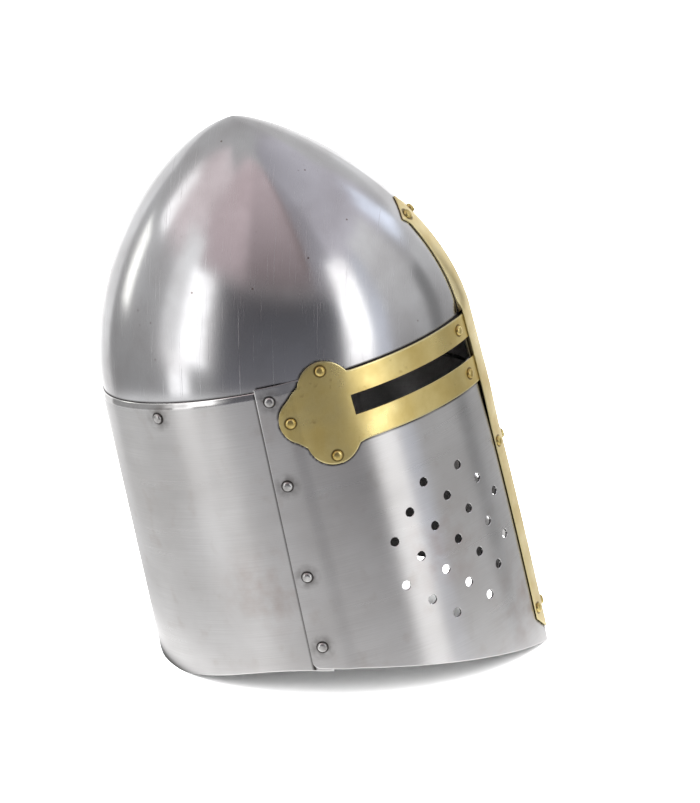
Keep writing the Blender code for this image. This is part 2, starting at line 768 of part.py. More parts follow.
def main():
    for item in list(bpy.data.objects):
        bpy.data.objects.remove(item)
    steel = material("brushed_steel", (0.52, 0.52, 0.53), 1.0, 0.28)
    bright = material("polished_steel", (0.56, 0.56, 0.57), 1.0, 0.14)
    brass = material("brass", (0.66, 0.50, 0.17), 1.0, 0.22)
    sheets = {
        "skull": make_skull(bright),
        "back": make_back_plate(steel),
        "face": make_face_plate(steel),
        "band_right": make_sight_band("sight_band_right", 1, brass),
        "band_left": make_sight_band("sight_band_left", -1, brass),
        "strip": make_face_strip(brass),
    }
    metals = {"steel": steel, "brass": brass}
    outer_side = {
        "strip": strip_outer,
        "band": band_outer,
        "face": face_outer,
        "back": back_outer,
    }
    holes = {name: [] for name in sheets}
    for name, arc, u, through, metal in rivet_plan():
        centre = abs(arc - arc_at(COLUMNS, u)) < HEAD_RADIUS
        outer = seat_height(outer_side[through[0]], arc, u, HEAD_RADIUS, max)
        inner = {
            "skull": UNDER_SKULL,
            "back": GAP,
            "face": seat_height(face_inner, arc, u, TAIL_RADIUS, min),
        }[through[-1]]
        sides = {"_back": 1} if centre else {"_right": 1, "_left": -1}
        for mark, side in sides.items():
            add_rivet(name + mark, side * arc, u, outer, inner, metals[metal])
            for crossed in through:
                target = crossed + mark if crossed == "band" else crossed
                holes[target].append((side * arc, u))
    for name, places in holes.items():
        cutter = hole_cutter("cut_rivets_" + name, places, SHANK_RADIUS + GAP)
        cut(sheets[name], [cutter])
    breaths = both_sides(breath_places())
    cut(sheets["face"], [hole_cutter("cut_breaths", breaths, 0.5 * BREATH_DIAMETER)])
    slot_end = lobe_centre() - SLOT_END_BEFORE_LOBES
    for side, mark in ((1, "right"), (-1, "left")):
        band_slot = slot_cutter("cut_sight_" + mark, side, SLOT_START, slot_end, SLOT_FOOT, SLOT_TOP)
        face_slot = slot_cutter(
            "cut_face_sight_" + mark,
            side,
            FACE_SLOT_START,
            slot_end + SLOT_MARGIN,
            SLOT_FOOT - SLOT_MARGIN,
            SLOT_TOP + SLOT_MARGIN,
        )
        cut(sheets["band_" + mark], [band_slot])
        cut(sheets["face"], [face_slot])
    centre_on_origin()


main()
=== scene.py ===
import math

import bpy
import numpy as np
from mathutils import Matrix


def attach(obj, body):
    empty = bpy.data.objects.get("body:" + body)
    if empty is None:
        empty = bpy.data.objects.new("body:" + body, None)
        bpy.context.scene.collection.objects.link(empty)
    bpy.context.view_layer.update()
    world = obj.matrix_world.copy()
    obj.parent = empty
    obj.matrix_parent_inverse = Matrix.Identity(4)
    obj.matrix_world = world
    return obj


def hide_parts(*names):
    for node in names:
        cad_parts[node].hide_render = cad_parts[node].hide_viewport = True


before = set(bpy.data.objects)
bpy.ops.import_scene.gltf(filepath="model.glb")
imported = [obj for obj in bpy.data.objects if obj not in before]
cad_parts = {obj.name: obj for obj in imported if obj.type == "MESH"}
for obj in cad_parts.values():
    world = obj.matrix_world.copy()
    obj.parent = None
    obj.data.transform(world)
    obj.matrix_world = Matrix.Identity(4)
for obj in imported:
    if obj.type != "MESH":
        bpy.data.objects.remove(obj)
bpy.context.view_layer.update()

# Sizes of the helm in millimetres, in its own upright frame: f forward, s to the wearer's
# right and u up from the ring where the skull meets the plates. They are those of the CAD part.
FRONT_REACH = 138.0
BACK_REACH = 142.0
HALF_WIDTH = 119.0
KEEL_CENTRE = 32.0
SKULL_HEIGHT = 178.6
APEX_FORWARD = 2.9
APEX_DEPTH = 2.4
FRONT_PROFILE = (1.91, 1.23)
BACK_PROFILE = (1.71, 1.63)
SKIRT_DEPTH = 16.5
WALL_DROP = 240.0
FRONT_SWELL = 1.8
SWELL_SPAN = 290.0
BACK_FLARE = 9.0
SIDE_FLARE = 4.6
LEAN = math.radians(11.4)
RING_ABOVE_GROUND = 236.5
ORIGIN_AHEAD = 24.49

# Sheet and clearance
STEEL = 1.5
BRASS = 1.0
GAP = 0.3
BACK_OUTER = GAP + STEEL
EDGE_ROUND = 0.35

# Back plate: the arch of its foot is full at the first angle from the keel, gone at the second
LIP_HEIGHT = 4.5
LIP_SETBACK = 0.9
PLATE_OVERLAP = 13.2
BACK_RIM_RISE = 24.0
BACK_RIM_DEG = (90.0, 150.0)

# Face plate: where its rear edge lies at the ring and at the foot, its top edge under the band
# and at the seam
SEAM_BEHIND = (6.0, 14.0)
SEAM_CORNER = 5.0
FACE_EDGE = (-1.0, 2.9)
FACE_RIM_RISE = 25.0
CLOSING_RUN = 14.0

# Sight band: two halves, each with a three lobed end
BAND_TOP = -0.2
BAND_FOOT = -53.0
BAND_MIDDLE = 0.5 * (BAND_TOP + BAND_FOOT)
SLOT_TOP = -18.3
SLOT_FOOT = -33.4
SLOT_START = 11.0
SLOT_END_BEFORE_LOBES = 19.0
SLOT_MARGIN = 0.8
FACE_SLOT_START = 17.5
LOBES_BEFORE_SEAM = 49.5
LOBE_HUB_RADIUS = 29.5
SIDE_LOBE_RADIUS = 18.1
SIDE_LOBE_REACH = 18.1
END_LOBE_RADIUS = 18.6
END_LOBE_REACH = 19.2
END_LOBE_LEAN = 2.0
LOBE_BLEND = 8.0

# Face strip
STRIP_HALF_WIDTH = 14.0
STRIP_TIP = 94.0
STRIP_SHOULDER = 80.0
SHOULDER_HALF_WIDTH = 17.8
SHOULDER_FILLET = 7.0
STRIP_FOOT_ABOVE_RIM = 11.0
STRIP_POINT = 11.5
STRIP_OVER_FACE = 2.3
STRIP_OVER_BAND = 3.4
STRIP_LEVEL_ABOVE_BAND = 5.8
STRIP_LEVEL_BELOW_BAND = 7.0
STRIP_DOWN_BELOW_BAND = 38.0
# Climb of the strip from its tip: share of the tip's height, share of its room over the band
STRIP_CLIMB = ((1.0, 0.15), (0.8, 0.26), (0.45, 0.59))
# The strip's edges are beaten down on the skull from the first height above the band, and
# fully from the second
BEATEN_ABOVE_BAND = (2.0, 12.0)

# Breaths in each cheek: a square grid without its corners, set cornerwise
BREATH_RADIUS = 3.5
BREATH_PITCH = 24.5
BREATH_TURN = math.radians(44.8)
BREATH_CENTRE = (83.9, -152.0)
BREATHS_A_SIDE = 5

# Rivets
HEAD_RADIUS = 3.75
HEAD_HEIGHT = 2.3
SHANK_RADIUS = 1.5
TAIL_RADIUS = 2.7
TAIL_HEIGHT = 0.9
HEAD_SINK = 0.1
DOME_POWER = 2.8
ROUND_SIDES = 28
SEAM_RIVET_INSET = 9.6
SEAM_RIVET_DROPS = (7.8, 72.4, 143.0, 198.0)
RING_RIVET_DROP = 11.0
RING_RIVET_DEG = (126.8, 180.0)
END_LOBE_RIVET_OUT = 12.8
SIDE_LOBE_RIVET_OUT = 10.0
BAND_RIVET_ARC = 26.5
STRIP_RIVET_SPREAD = 9.0
STRIP_RIVET_HEIGHTS = (80.2, -103.7, -239.5)

# How far the breaths and the sights flare at their outer edge, and how far cutters reach past
# the outer side of a sheet and within the skin
BREATH_FLARE = 2.25
SIGHT_FLARE = 2.0
CUT_DEPTH_OF_FLARE = 0.25
CUTTER_ABOVE = 2.0
BREATH_CUTTER_WITHIN = 6.0
SLOT_CUTTER_WITHIN = 8.0

# How finely the surfaces are made: steps along a wall, along an outline and round the bowl
WALL_STEP = 1.9
PLATE_ROW_STEP = 2.4
BACK_ROW_STEP = 4.0
BAND_ROW_STEP = 3.0
LINE_STEP = 0.5
LOBE_STEP = 0.4
# Rough lengths that those steps divide
BACK_HALF_RUN = 200.0
FACE_HALF_RUN = 210.0
FACE_DROP = 220.0
BAND_DEPTH = 52.0
BOWL_ROWS = 84
BOWL_ROWS_CROWD = 1.5
BOWL_COLUMNS = 121

MM = 0.001
# Farther than any place on the helm lies from any other
FAR = 300.0


def smooth(value, low, high):
    """A smooth step from 0 at low to 1 at high."""
    share = np.clip((np.asarray(value, float) - low) / (high - low), 0.0, 1.0)
    return share * share * (3.0 - 2.0 * share)


def plan(u):
    """Reaches, half width, keel centre and forward shift of the helm at height u.

    Below the ring they change slowly. Above it each reach shrinks as
    (1 - v**q) ** (1 / p), where v is the share of the skull's height.
    """
    v = np.clip(u / SKULL_HEIGHT, 0.0, 0.9999)
    drop = np.clip(-u, 0.0, None)
    front = (1.0 - v ** FRONT_PROFILE[0]) ** (1.0 / FRONT_PROFILE[1])
    back = (1.0 - v ** BACK_PROFILE[0]) ** (1.0 / BACK_PROFILE[1])
    side = 0.5 * (front + back)
    front_reach = FRONT_REACH * front + FRONT_SWELL * np.sin(math.pi * drop / SWELL_SPAN)
    back_reach = BACK_REACH * back + BACK_FLARE * drop / WALL_DROP
    half_width = HALF_WIDTH * side + SIDE_FLARE * drop / WALL_DROP
    return front_reach, back_reach, half_width, KEEL_CENTRE * side * (1.0 - v), APEX_FORWARD * v


def outline(theta, u):
    """Points (f, s, u) of the right half: an arc that meets its mirror image at the keel,
    centred beyond the middle plane, and half an ellipse behind."""
    front_reach, back_reach, half_width, keel_centre, shift = plan(u)
    sweep = np.arccos(keel_centre / (half_width + keel_centre))
    angle = sweep * np.clip(1.0 - 2.0 * theta / math.pi, 0.0, None)
    front_f = front_reach / np.sin(sweep) * np.sin(angle)
    front_s = (half_width + keel_centre) * np.cos(angle) - keel_centre
    ahead = theta < math.pi / 2
    f = np.where(ahead, front_f, back_reach * np.cos(theta)) + shift
    return np.stack([f, np.where(ahead, front_s, half_width * np.sin(theta)), u + 0.0 * theta], -1)


def outward(theta, u):
    """Outward direction: the cross product of the two tangents, lengthened at the keel."""
    step = 1e-4
    ahead = np.minimum(theta + step, math.pi)
    behind = np.maximum(theta - step, 0.0)
    across = outline(ahead, u) - outline(behind, u)
    up = outline(theta, u + 0.01) - outline(theta, u - 0.01)
    normal = np.cross(across, up)
    normal /= np.linalg.norm(normal, axis=-1, keepdims=True)
    normal[..., 2] = np.where(u <= 0.0, 0.0, normal[..., 2])
    middle = (theta < step) | (theta > math.pi - step)
    normal[..., 1] = np.where(middle, 0.0, normal[..., 1])
    length = np.sum(normal * normal, axis=-1, keepdims=True)
    return np.where(middle[..., None], normal / length, normal)


def skin(theta, u, offset):
    """Points of the skin moved out by offset, theta positive on the wearer's right."""
    theta, u, offset = [np.array(part, float) for part in np.broadcast_arrays(theta, u, offset)]
    points = outline(np.abs(theta), u) + offset[..., None] * outward(np.abs(theta), u)
    points[..., 1] *= np.where(theta < 0, -1.0, 1.0)
    return points


# Angles at evenly spaced lengths from the keel, a row each 3 mm of height
DENSE = np.linspace(0.0, math.pi, 1441)
HEIGHTS = np.linspace(-264.0, 108.0, 125)
ARCS = np.linspace(0.0, 440.0, 1761)


def run_from_keel(u):
    """Length along the skin from the keel to each of the dense angles, at one height."""
    steps = np.linalg.norm(np.diff(skin(DENSE, u, BACK_OUTER), axis=0), axis=1)
    return np.concatenate([[0.0], np.cumsum(steps)])


THETA_TABLE = np.stack([np.interp(ARCS, run_from_keel(u), DENSE) for u in HEIGHTS])


def theta_at(arc, u):
    """Angle whose length along the skin from the keel is arc, between table rows in u."""
    arc, u = np.broadcast_arrays(np.asarray(arc, float), np.asarray(u, float))
    row = np.clip((u - HEIGHTS[0]) / (HEIGHTS[1] - HEIGHTS[0]), 0, len(HEIGHTS) - 1.001)
    place = np.clip(np.abs(arc) / ARCS[1], 0, len(ARCS) - 1.001)
    i, j = row.astype(int), place.astype(int)
    a, b = row - i, place - j
    low = THETA_TABLE[i, j] * (1 - b) + THETA_TABLE[i, j + 1] * b
    high = THETA_TABLE[i + 1, j] * (1 - b) + THETA_TABLE[i + 1, j + 1] * b
    return np.where(arc < 0, -1.0, 1.0) * (low * (1 - a) + high * a)


def arc_of(theta, u):
    """Length along the skin from the keel to an angle, at one height."""
    return float(np.interp(abs(theta), DENSE, run_from_keel(u)))


def seam_arc(u):
    """Length from the keel to the face plate's rear edge, which runs back towards its foot."""
    behind = SEAM_BEHIND[0] + (SEAM_BEHIND[1] - SEAM_BEHIND[0]) * -u / WALL_DROP
    row = skin(DENSE, u, BACK_OUTER)
    return arc_of(float(np.interp(behind, -row[:, 0], DENSE)), u)


LOBE_CENTRE = seam_arc(BAND_MIDDLE) - LOBES_BEFORE_SEAM
SLOT_END = LOBE_CENTRE - SLOT_END_BEFORE_LOBES
LAP_THETA = float(theta_at(seam_arc(0.0) - PLATE_OVERLAP, 0.0))


def face_inner(theta):
    """Room under the face plate: close to the skull in front, over the back plate behind."""
    lap = arc_of(LAP_THETA, 0.0)
    start = float(theta_at(lap - CLOSING_RUN, 0.0))
    return GAP + BACK_OUTER * smooth(np.abs(theta), start, LAP_THETA - 0.02)


def face_outer(theta):
    """Outer side of the face plate."""
    return face_inner(theta) + STEEL


def strip_inner(u):
    """Room under the strip: it climbs from the skull over the band, then drops to the face."""
    heights = [share * STRIP_TIP for share, _ in STRIP_CLIMB]
    heights += [BAND_TOP + STRIP_LEVEL_ABOVE_BAND, BAND_FOOT - STRIP_LEVEL_BELOW_BAND]
    heights += [BAND_FOOT - STRIP_DOWN_BELOW_BAND]
    rooms = [share * STRIP_OVER_BAND for _, share in STRIP_CLIMB]
    rooms += [STRIP_OVER_BAND, STRIP_OVER_BAND, STRIP_OVER_FACE]
    return np.interp(-np.asarray(u, float), -np.array(heights), rooms)


def ground(theta, offset):
    """Height of the ground under a point of the skin: where its standing height is zero."""
    u = -RING_ABOVE_GROUND + 0.0 * np.asarray(theta, float)
    for _ in range(6):
        f = skin(theta, u, offset)[..., 0]
        u = (-RING_ABOVE_GROUND - f * math.sin(LEAN)) / math.cos(LEAN)
    return u


def back_rim(theta, offset):
    """Foot of the back plate: flat behind, arched up towards the seams."""
    rise = 1.0 - smooth(np.degrees(np.abs(theta)), *BACK_RIM_DEG)
    return ground(theta, offset) + BACK_RIM_RISE * rise


def face_rim(theta, offset):
    """Foot of the face plate: on the ground at the keel, rising as a sine to the seams."""
    turn = np.minimum(np.abs(theta), math.pi / 2)
    return ground(theta, offset) + FACE_RIM_RISE * np.sin(turn)


STRIP_FOOT = float(face_rim(np.array(0.0), GAP)) + STRIP_FOOT_ABOVE_RIM


def stand(points):
    """Helm frame to row frame in metres: leaned back, face towards -Y."""
    f, s, u = points[..., 0], points[..., 1], points[..., 2]
    forward = f * math.cos(LEAN) - u * math.sin(LEAN)
    up = f * math.sin(LEAN) + u * math.cos(LEAN) + RING_ABOVE_GROUND
    return np.stack([-s, ORIGIN_AHEAD - forward, up], -1) * MM


def make_piece(name, points, faces, layers=(), sharp=55.0, inside=None):
    """A closed mesh turned to face outwards: its signed volume is made positive.

    layers holds UV maps as (name, a pair of values for each point). inside gives the first
    and the last face that look into the helm.
    """
    points = np.asarray(points)
    quads = np.array([face if len(face) == 4 else (*face, face[2]) for face in faces])
    a, b, c, d = [points[quads[:, i]] for i in range(4)]
    volume = np.sum(np.cross(a, b) * c + np.cross(a, c) * d)
    if volume < 0:
        faces = [face[::-1] for face in faces]
    mesh = bpy.data.meshes.new(name)
    mesh.from_pydata(points.tolist(), [], faces)
    mesh.update()
    index = np.empty(len(mesh.loops), dtype=np.int32)
    mesh.loops.foreach_get("vertex_index", index)
    for layer, pairs in layers:
        values = np.asarray(pairs, dtype=np.float32)[index].ravel()
        mesh.uv_layers.new(name=layer).data.foreach_set("uv", values)
    if inside:
        index = np.zeros(len(faces), dtype=np.int32)
        index[inside[0] : inside[1]] = 1
        mesh.polygons.foreach_set("material_index", index)
    mesh.shade_smooth()
    mesh.set_sharp_from_angle(angle=math.radians(sharp))
    piece = bpy.data.objects.new(name, mesh)
    bpy.context.scene.collection.objects.link(piece)
    return piece


def grid_faces(rows, columns, start, flip):
    """Quads of a grid of points numbered row by row."""
    first = (np.arange(rows - 1)[:, None] * columns + np.arange(columns - 1)).ravel() + start
    quads = np.stack([first, first + 1, first + columns + 1, first + columns], 1)
    return [tuple(quad) for quad in (quads[:, ::-1] if flip else quads).tolist()]


def border(rows, columns):
    """Indices round the edge of a grid, in order."""
    edge = list(range(columns))
    edge += [i * columns + columns - 1 for i in range(1, rows)]
    edge += [(rows - 1) * columns + j for j in range(columns - 2, -1, -1)]
    edge += [i * columns for i in range(rows - 2, 0, -1)]
    return edge


def line_gap(arc, u, line):
    """Distance from each point of a grid (arc, u) to the nearest point of a line on it."""
    rows = [np.hypot(a[:, None] - line[0], b[:, None] - line[1]).min(1) for a, b in zip(arc, u)]
    return np.array(rows)


def make_sheet(name, theta, arc, u, inner_u, outer, inner, lap=None):
    """A closed sheet: an outer grid, an inner grid and a wall round their edge.

    The outer grid sinks near its edge by r - sqrt(r**2 - (r - d)**2), a rounded corner.
    The UV map "along" holds length round the helm and height. "edge" holds the distance to
    the sheet's own edge and to the edge of the sheet that laps it.
    """
    rows, columns = theta.shape
    top = skin(theta, u, outer)
    along = np.linalg.norm(np.diff(top, axis=1), axis=2)
    down = np.linalg.norm(np.diff(top, axis=0), axis=2)
    left = np.concatenate([np.zeros((rows, 1)), np.cumsum(along, axis=1)], axis=1)
    above = np.concatenate([np.zeros((1, columns)), np.cumsum(down, axis=0)], axis=0)
    distance = np.minimum(np.minimum(left, left[:, -1:] - left), np.minimum(above, above[-1:] - above))
    bite = np.clip(EDGE_ROUND - distance, 0.0, EDGE_ROUND)
    sunk = EDGE_ROUND - np.sqrt(EDGE_ROUND**2 - bite**2)
    top = skin(theta, u, outer - sunk).reshape(-1, 3)
    under = skin(theta, inner_u, inner).reshape(-1, 3)
    count = rows * columns
    edge = border(rows, columns)
    faces = grid_faces(rows, columns, 0, False)
    inside = (len(faces), 2 * len(faces))
    faces += grid_faces(rows, columns, count, True)
    faces += [(b, a, a + count, b + count) for a, b in zip(edge, edge[1:] + edge[:1])]
    laid = np.stack([arc, u], -1).reshape(-1, 2) * MM
    gaps = np.stack([distance, FAR + 0.0 * u if lap is None else lap], -1).reshape(-1, 2) * MM
    layers = (("along", np.tile(laid, (2, 1))), ("edge", np.tile(gaps, (2, 1))))
    points = stand(np.concatenate([top, under]))
    return make_piece(name, points, faces, layers, inside=inside)


def spaced(length, pitch):
    """Shares from 0 to 1 with close steps at both ends, for a rounded edge."""
    count = max(4, int(round(length / pitch)))
    ends = np.array([0.0, 0.25 * EDGE_ROUND, EDGE_ROUND, 3.0 * EDGE_ROUND]) / length
    middle = np.linspace(0.0, 1.0, count + 1)[1:-1]
    middle = middle[(middle > 1.5 * ends[-1]) & (middle < 1.0 - 1.5 * ends[-1])]
    return np.concatenate([ends, middle, 1.0 - ends[::-1]])


def mirrored(values, sign):
    """A half grid that starts at the keel, joined to its mirror image across the keel."""
    return np.concatenate([sign * values[:, ::-1][:, :-1], values], axis=1)


def arc_grid(theta, u):
    """Length from the keel at each point of a grid whose rows lie about level."""
    levels = u.mean(1)
    return np.array([np.interp(row, DENSE, run_from_keel(v)) for row, v in zip(theta, levels)])


def band_line():
    """The band's outline as arcs and heights."""
    arc = np.arange(0.0, LOBE_CENTRE + SIDE_LOBE_REACH + SIDE_LOBE_RADIUS, LINE_STEP)
    heights = np.concatenate([lobe_edge(arc, 1.0), lobe_edge(arc, -1.0)])
    return np.concatenate([arc, arc]), heights


def strip_line():
    """The edge of the face strip as arcs and heights."""
    heights = np.arange(STRIP_FOOT, STRIP_TIP, LINE_STEP)
    return strip_half_width(heights), heights


def under_brass(arc, u):
    """Distance from each point of a grid to the edge of the brass that lies on it."""
    return np.minimum(line_gap(arc, u, band_line()), line_gap(arc, u, strip_line()))


def make_skull():
    """Pointed skull: rings of the outline from the skirt up to the apex, at
    1 - (1 - t)**1.5 of its height, and the same rings a sheet's thickness within."""
    rise = 1.0 - (1.0 - np.linspace(0.0, 1.0, BOWL_ROWS)) ** BOWL_ROWS_CROWD
    heights = np.concatenate([[-SKIRT_DEPTH, -8.0, -3.0], rise[:-1] * SKULL_HEIGHT])
    half = np.linspace(0.0, math.pi, BOWL_COLUMNS)
    round_theta = np.concatenate([half, -half[::-1][1:-1]])
    theta, u = np.meshgrid(round_theta, heights)
    rows, count = theta.shape
    outer = skin(theta, u, 0.0).reshape(-1, 3)
    inner = skin(theta, u, -STEEL).reshape(-1, 3)
    apex = [[APEX_FORWARD, 0.0, SKULL_HEIGHT], [APEX_FORWARD, 0.0, SKULL_HEIGHT - APEX_DEPTH]]
    top = 2 * rows * count
    here = (np.arange(rows - 1)[:, None] * count + np.arange(count)).ravel()
    after = (np.arange(rows - 1)[:, None] * count + (np.arange(count) + 1) % count).ravel()
    shell = np.stack([here, after, after + count, here + count], 1)
    lining = shell[:, ::-1] + rows * count
    j = np.arange(count)
    k = (j + 1) % count
    last = (rows - 1) * count
    foot = np.stack([k, j, j + rows * count, k + rows * count], 1)
    inside = (len(shell), 2 * len(shell))
    faces = [tuple(face) for face in np.concatenate([shell, lining, foot]).tolist()]
    faces += [(a, b, top) for a, b in zip((last + j).tolist(), (last + k).tolist())]
    last += rows * count
    faces += [(b, a, top + 1) for a, b in zip((last + j).tolist(), (last + k).tolist())]
    points = stand(np.concatenate([outer, inner, apex]))
    arc = arc_grid(np.abs(theta), u)
    laps = np.minimum(np.abs(u - GAP), under_brass(arc, u))
    gaps = np.stack([FAR + 0.0 * u, laps], -1).reshape(-1, 2)
    gaps = np.concatenate([gaps, gaps, [[FAR, FAR], [FAR, FAR]]]) * MM
    return make_piece("skull_shell", points, faces, (("edge", gaps),), inside=inside)


def make_back_plate():
    """Back plate: the skin moved out by the gap and the sheet. Rows run from the lip, set back
    by a smooth step, down to the foot, which arches by another."""
    heights = np.array([0.0, -0.1, -0.6, -1.2, -2.2, -3.2, -4.0, -LIP_HEIGHT, -LIP_HEIGHT - 0.6])
    setback = LIP_SETBACK * (1.0 - smooth(-heights, 0.0, LIP_HEIGHT))
    shares = spaced(RING_ABOVE_GROUND, BACK_ROW_STEP)[4:]
    half = LAP_THETA + spaced(BACK_HALF_RUN, WALL_STEP) * (math.pi - LAP_THETA)
    half = np.concatenate([half[:-4], [math.pi]])
    theta = np.concatenate([half, -half[::-1][1:]])
    outer_foot = back_rim(theta, BACK_OUTER)
    inner_foot = back_rim(theta, GAP)
    lead = seam_lead(theta)
    rows = []
    for height, back in zip(heights, setback):
        rows.append((height + 0 * theta, height + 0 * theta, BACK_OUTER - back + 0 * theta))
    for share in shares:
        feet = (outer_foot, inner_foot)
        u, inner_u = [heights[-1] + share * (foot - heights[-1]) for foot in feet]
        rows.append((u, inner_u, BACK_OUTER + 0 * theta))
    u, inner_u, outer = np.stack(rows, axis=1)
    theta = theta[None] + lead * -u / WALL_DROP
    seams = np.array([seam_arc(float(height)) for height in u[:, 0]])[:, None]
    lap = np.abs(arc_grid(np.abs(theta), u) - seams)
    arc = theta * HALF_WIDTH
    return make_sheet("back_plate_wall", theta, arc, u, inner_u, outer, GAP + 0 * u, lap)


def seam_lead(theta):
    """How far the back plate's hidden edges run back at the foot, fading round the back."""
    foot = -WALL_DROP + FACE_RIM_RISE
    drift = float(theta_at(seam_arc(foot) - PLATE_OVERLAP, foot)) - LAP_THETA
    fade = 1.0 - smooth(np.abs(theta), LAP_THETA, 0.5 * (LAP_THETA + math.pi))
    return np.sign(theta) * drift * fade


def make_face_plate():
    """Face plate: columns at shares of the length from keel to seam, rows from ring to foot.

    A smooth step moves it out where it laps the back plate. Its rear corner is rounded by
    r - sqrt(r**2 - (r - d)**2), where d is the distance from the seam.
    """
    levels = np.linspace(FACE_EDGE[1], FACE_RIM_RISE - WALL_DROP, 60)
    seams = np.array([seam_arc(height) for height in levels])
    keel_first = 1.0 - spaced(FACE_HALF_RUN, WALL_STEP)[::-1]
    across = np.concatenate([[0.0], keel_first[4:]])
    down = spaced(FACE_DROP, PLATE_ROW_STEP)[:, None]
    u = levels[0] + down * (levels[-1] - levels[0])
    seam = np.interp(-u, -levels, seams)
    arc = across[None] * seam
    low, high = LOBE_CENTRE - END_LOBE_RADIUS, LOBE_CENTRE + END_LOBE_RADIUS
    top = FACE_EDGE[0] + (FACE_EDGE[1] - FACE_EDGE[0]) * smooth(arc, low, high)
    theta = theta_at(arc, u)
    bite = np.clip(1.0 - (seam - arc) / SEAM_CORNER, 0.0, 1.0)
    corner = SEAM_CORNER * (1.0 - np.sqrt(1.0 - bite * bite))
    inner = face_inner(theta)
    feet = [face_rim(theta, offset) for offset in (inner + STEEL - EDGE_ROUND, inner)]
    u, inner_u = [top + down * (foot + corner - top) for foot in feet]
    theta, arc, u, inner_u = mirrored(theta, -1), mirrored(arc, -1), mirrored(u, 1), mirrored(inner_u, 1)
    inner = face_inner(theta)
    lap = under_brass(np.abs(arc), u)
    return make_sheet("face_plate_wall", theta, arc, u, inner_u, inner + STEEL, inner, lap)


def lobe_edge(arc, sign):
    """Edge of the band at a length from the keel: a soft maximum (a power mean) of the
    band's own edge, the round lobes of its end and a round hub."""
    from_lobe = arc - LOBE_CENTRE
    from_end = from_lobe + sign * END_LOBE_LEAN
    from_side = from_lobe - SIDE_LOBE_REACH
    straight = np.where(from_lobe < 0.0, 0.5 * (BAND_TOP - BAND_FOOT), 0.0)
    end = np.sqrt(np.clip(END_LOBE_RADIUS**2 - from_end**2, 0.0, None))
    end_height = np.where(end > 0.0, END_LOBE_REACH + end, 0.0)
    side = np.sqrt(np.clip(SIDE_LOBE_RADIUS**2 - from_side**2, 0.0, None))
    hub = np.sqrt(np.clip(LOBE_HUB_RADIUS**2 - from_lobe**2, 0.0, None))
    parts = np.stack([straight, end_height, side, hub])
    return BAND_MIDDLE + sign * np.sum(parts**LOBE_BLEND, axis=0) ** (1.0 / LOBE_BLEND)


def make_sight_band(name, side):
    """Half of the brass band, laid over the face plate: a column at each length from the keel,
    between the edges that lobe_edge gives, with close columns round the lobes."""
    start = LOBE_CENTRE - END_LOBE_RADIUS - END_LOBE_LEAN
    last = LOBE_CENTRE + END_LOBE_RADIUS + END_LOBE_LEAN
    end = LOBE_CENTRE + SIDE_LOBE_REACH + SIDE_LOBE_RADIUS
    turn = np.linspace(0.0, math.pi / 2, 30)
    columns = [np.linspace(0.5 * GAP, start - 1.0, 76)]
    columns += [np.arange(start - 0.6, last + 1.0, LOBE_STEP)]
    columns += [end - (end - last - 1.4) * (1.0 - np.sin(turn[:-1])), [end - 0.01]]
    arc = np.concatenate(columns)
    lower, upper = lobe_edge(arc, -1.0), lobe_edge(arc, 1.0)
    shares = spaced(BAND_DEPTH, BAND_ROW_STEP)[:, None]
    u = lower + shares * (upper - lower)
    arc = np.tile(arc, (len(shares), 1))
    theta = side * theta_at(arc, u)
    inner = face_outer(theta) + GAP
    return make_sheet(name, theta, side * arc, u, u, inner + BRASS, inner)


def strip_half_width(u):
    """Half width of the strip: a spear tip, a waist, a long straight run, a pointed foot."""
    tip = SHOULDER_HALF_WIDTH * (STRIP_TIP - u) / (STRIP_TIP - STRIP_SHOULDER)
    waist = smooth(u, STRIP_SHOULDER - SHOULDER_FILLET, STRIP_SHOULDER)
    run = STRIP_HALF_WIDTH + (SHOULDER_HALF_WIDTH - STRIP_HALF_WIDTH) * waist**2
    point = STRIP_HALF_WIDTH * (u - STRIP_FOOT) / STRIP_POINT
    return np.clip(np.minimum(np.minimum(tip, run), point), 0.25, None)


def make_face_strip():
    """Brass strip: rows down the keel, each as wide as the strip there, raised by its room
    over what it crosses and, above the band, sunk by the cube of the share of its width."""
    foot = STRIP_FOOT
    heights = [np.linspace(STRIP_TIP - 0.1, STRIP_SHOULDER, 16)]
    heights += [np.linspace(STRIP_SHOULDER - 0.3, STRIP_SHOULDER - 1.2 * SHOULDER_FILLET, 14)]
    heights += [np.arange(STRIP_SHOULDER - 11.0, foot + STRIP_POINT + 1.0, -3.0)]
    heights += [np.linspace(foot + STRIP_POINT, foot + 0.1, 12)]
    u = np.concatenate(heights)[:, None]
    width = strip_half_width(u)
    across = np.concatenate([[0.0], np.linspace(0.1, 0.9, 7), [0.955, 0.975, 0.99, 1.0]])
    arc = width * across[None]
    u = u + 0.0 * arc
    theta = theta_at(arc, u)
    theta, arc, u = mirrored(theta, -1), mirrored(arc, -1), mirrored(u, 1)
    # Above the band the strip's edges are beaten down on the skull
    share = np.abs(arc) / strip_half_width(u)
    beaten = smooth(u, *[BAND_TOP + height for height in BEATEN_ABOVE_BAND]) * share**3
    inner = strip_inner(u) - beaten * (strip_inner(u) - GAP)
    return make_sheet("face_strip_brass", theta, arc, u, u, inner + BRASS, inner)


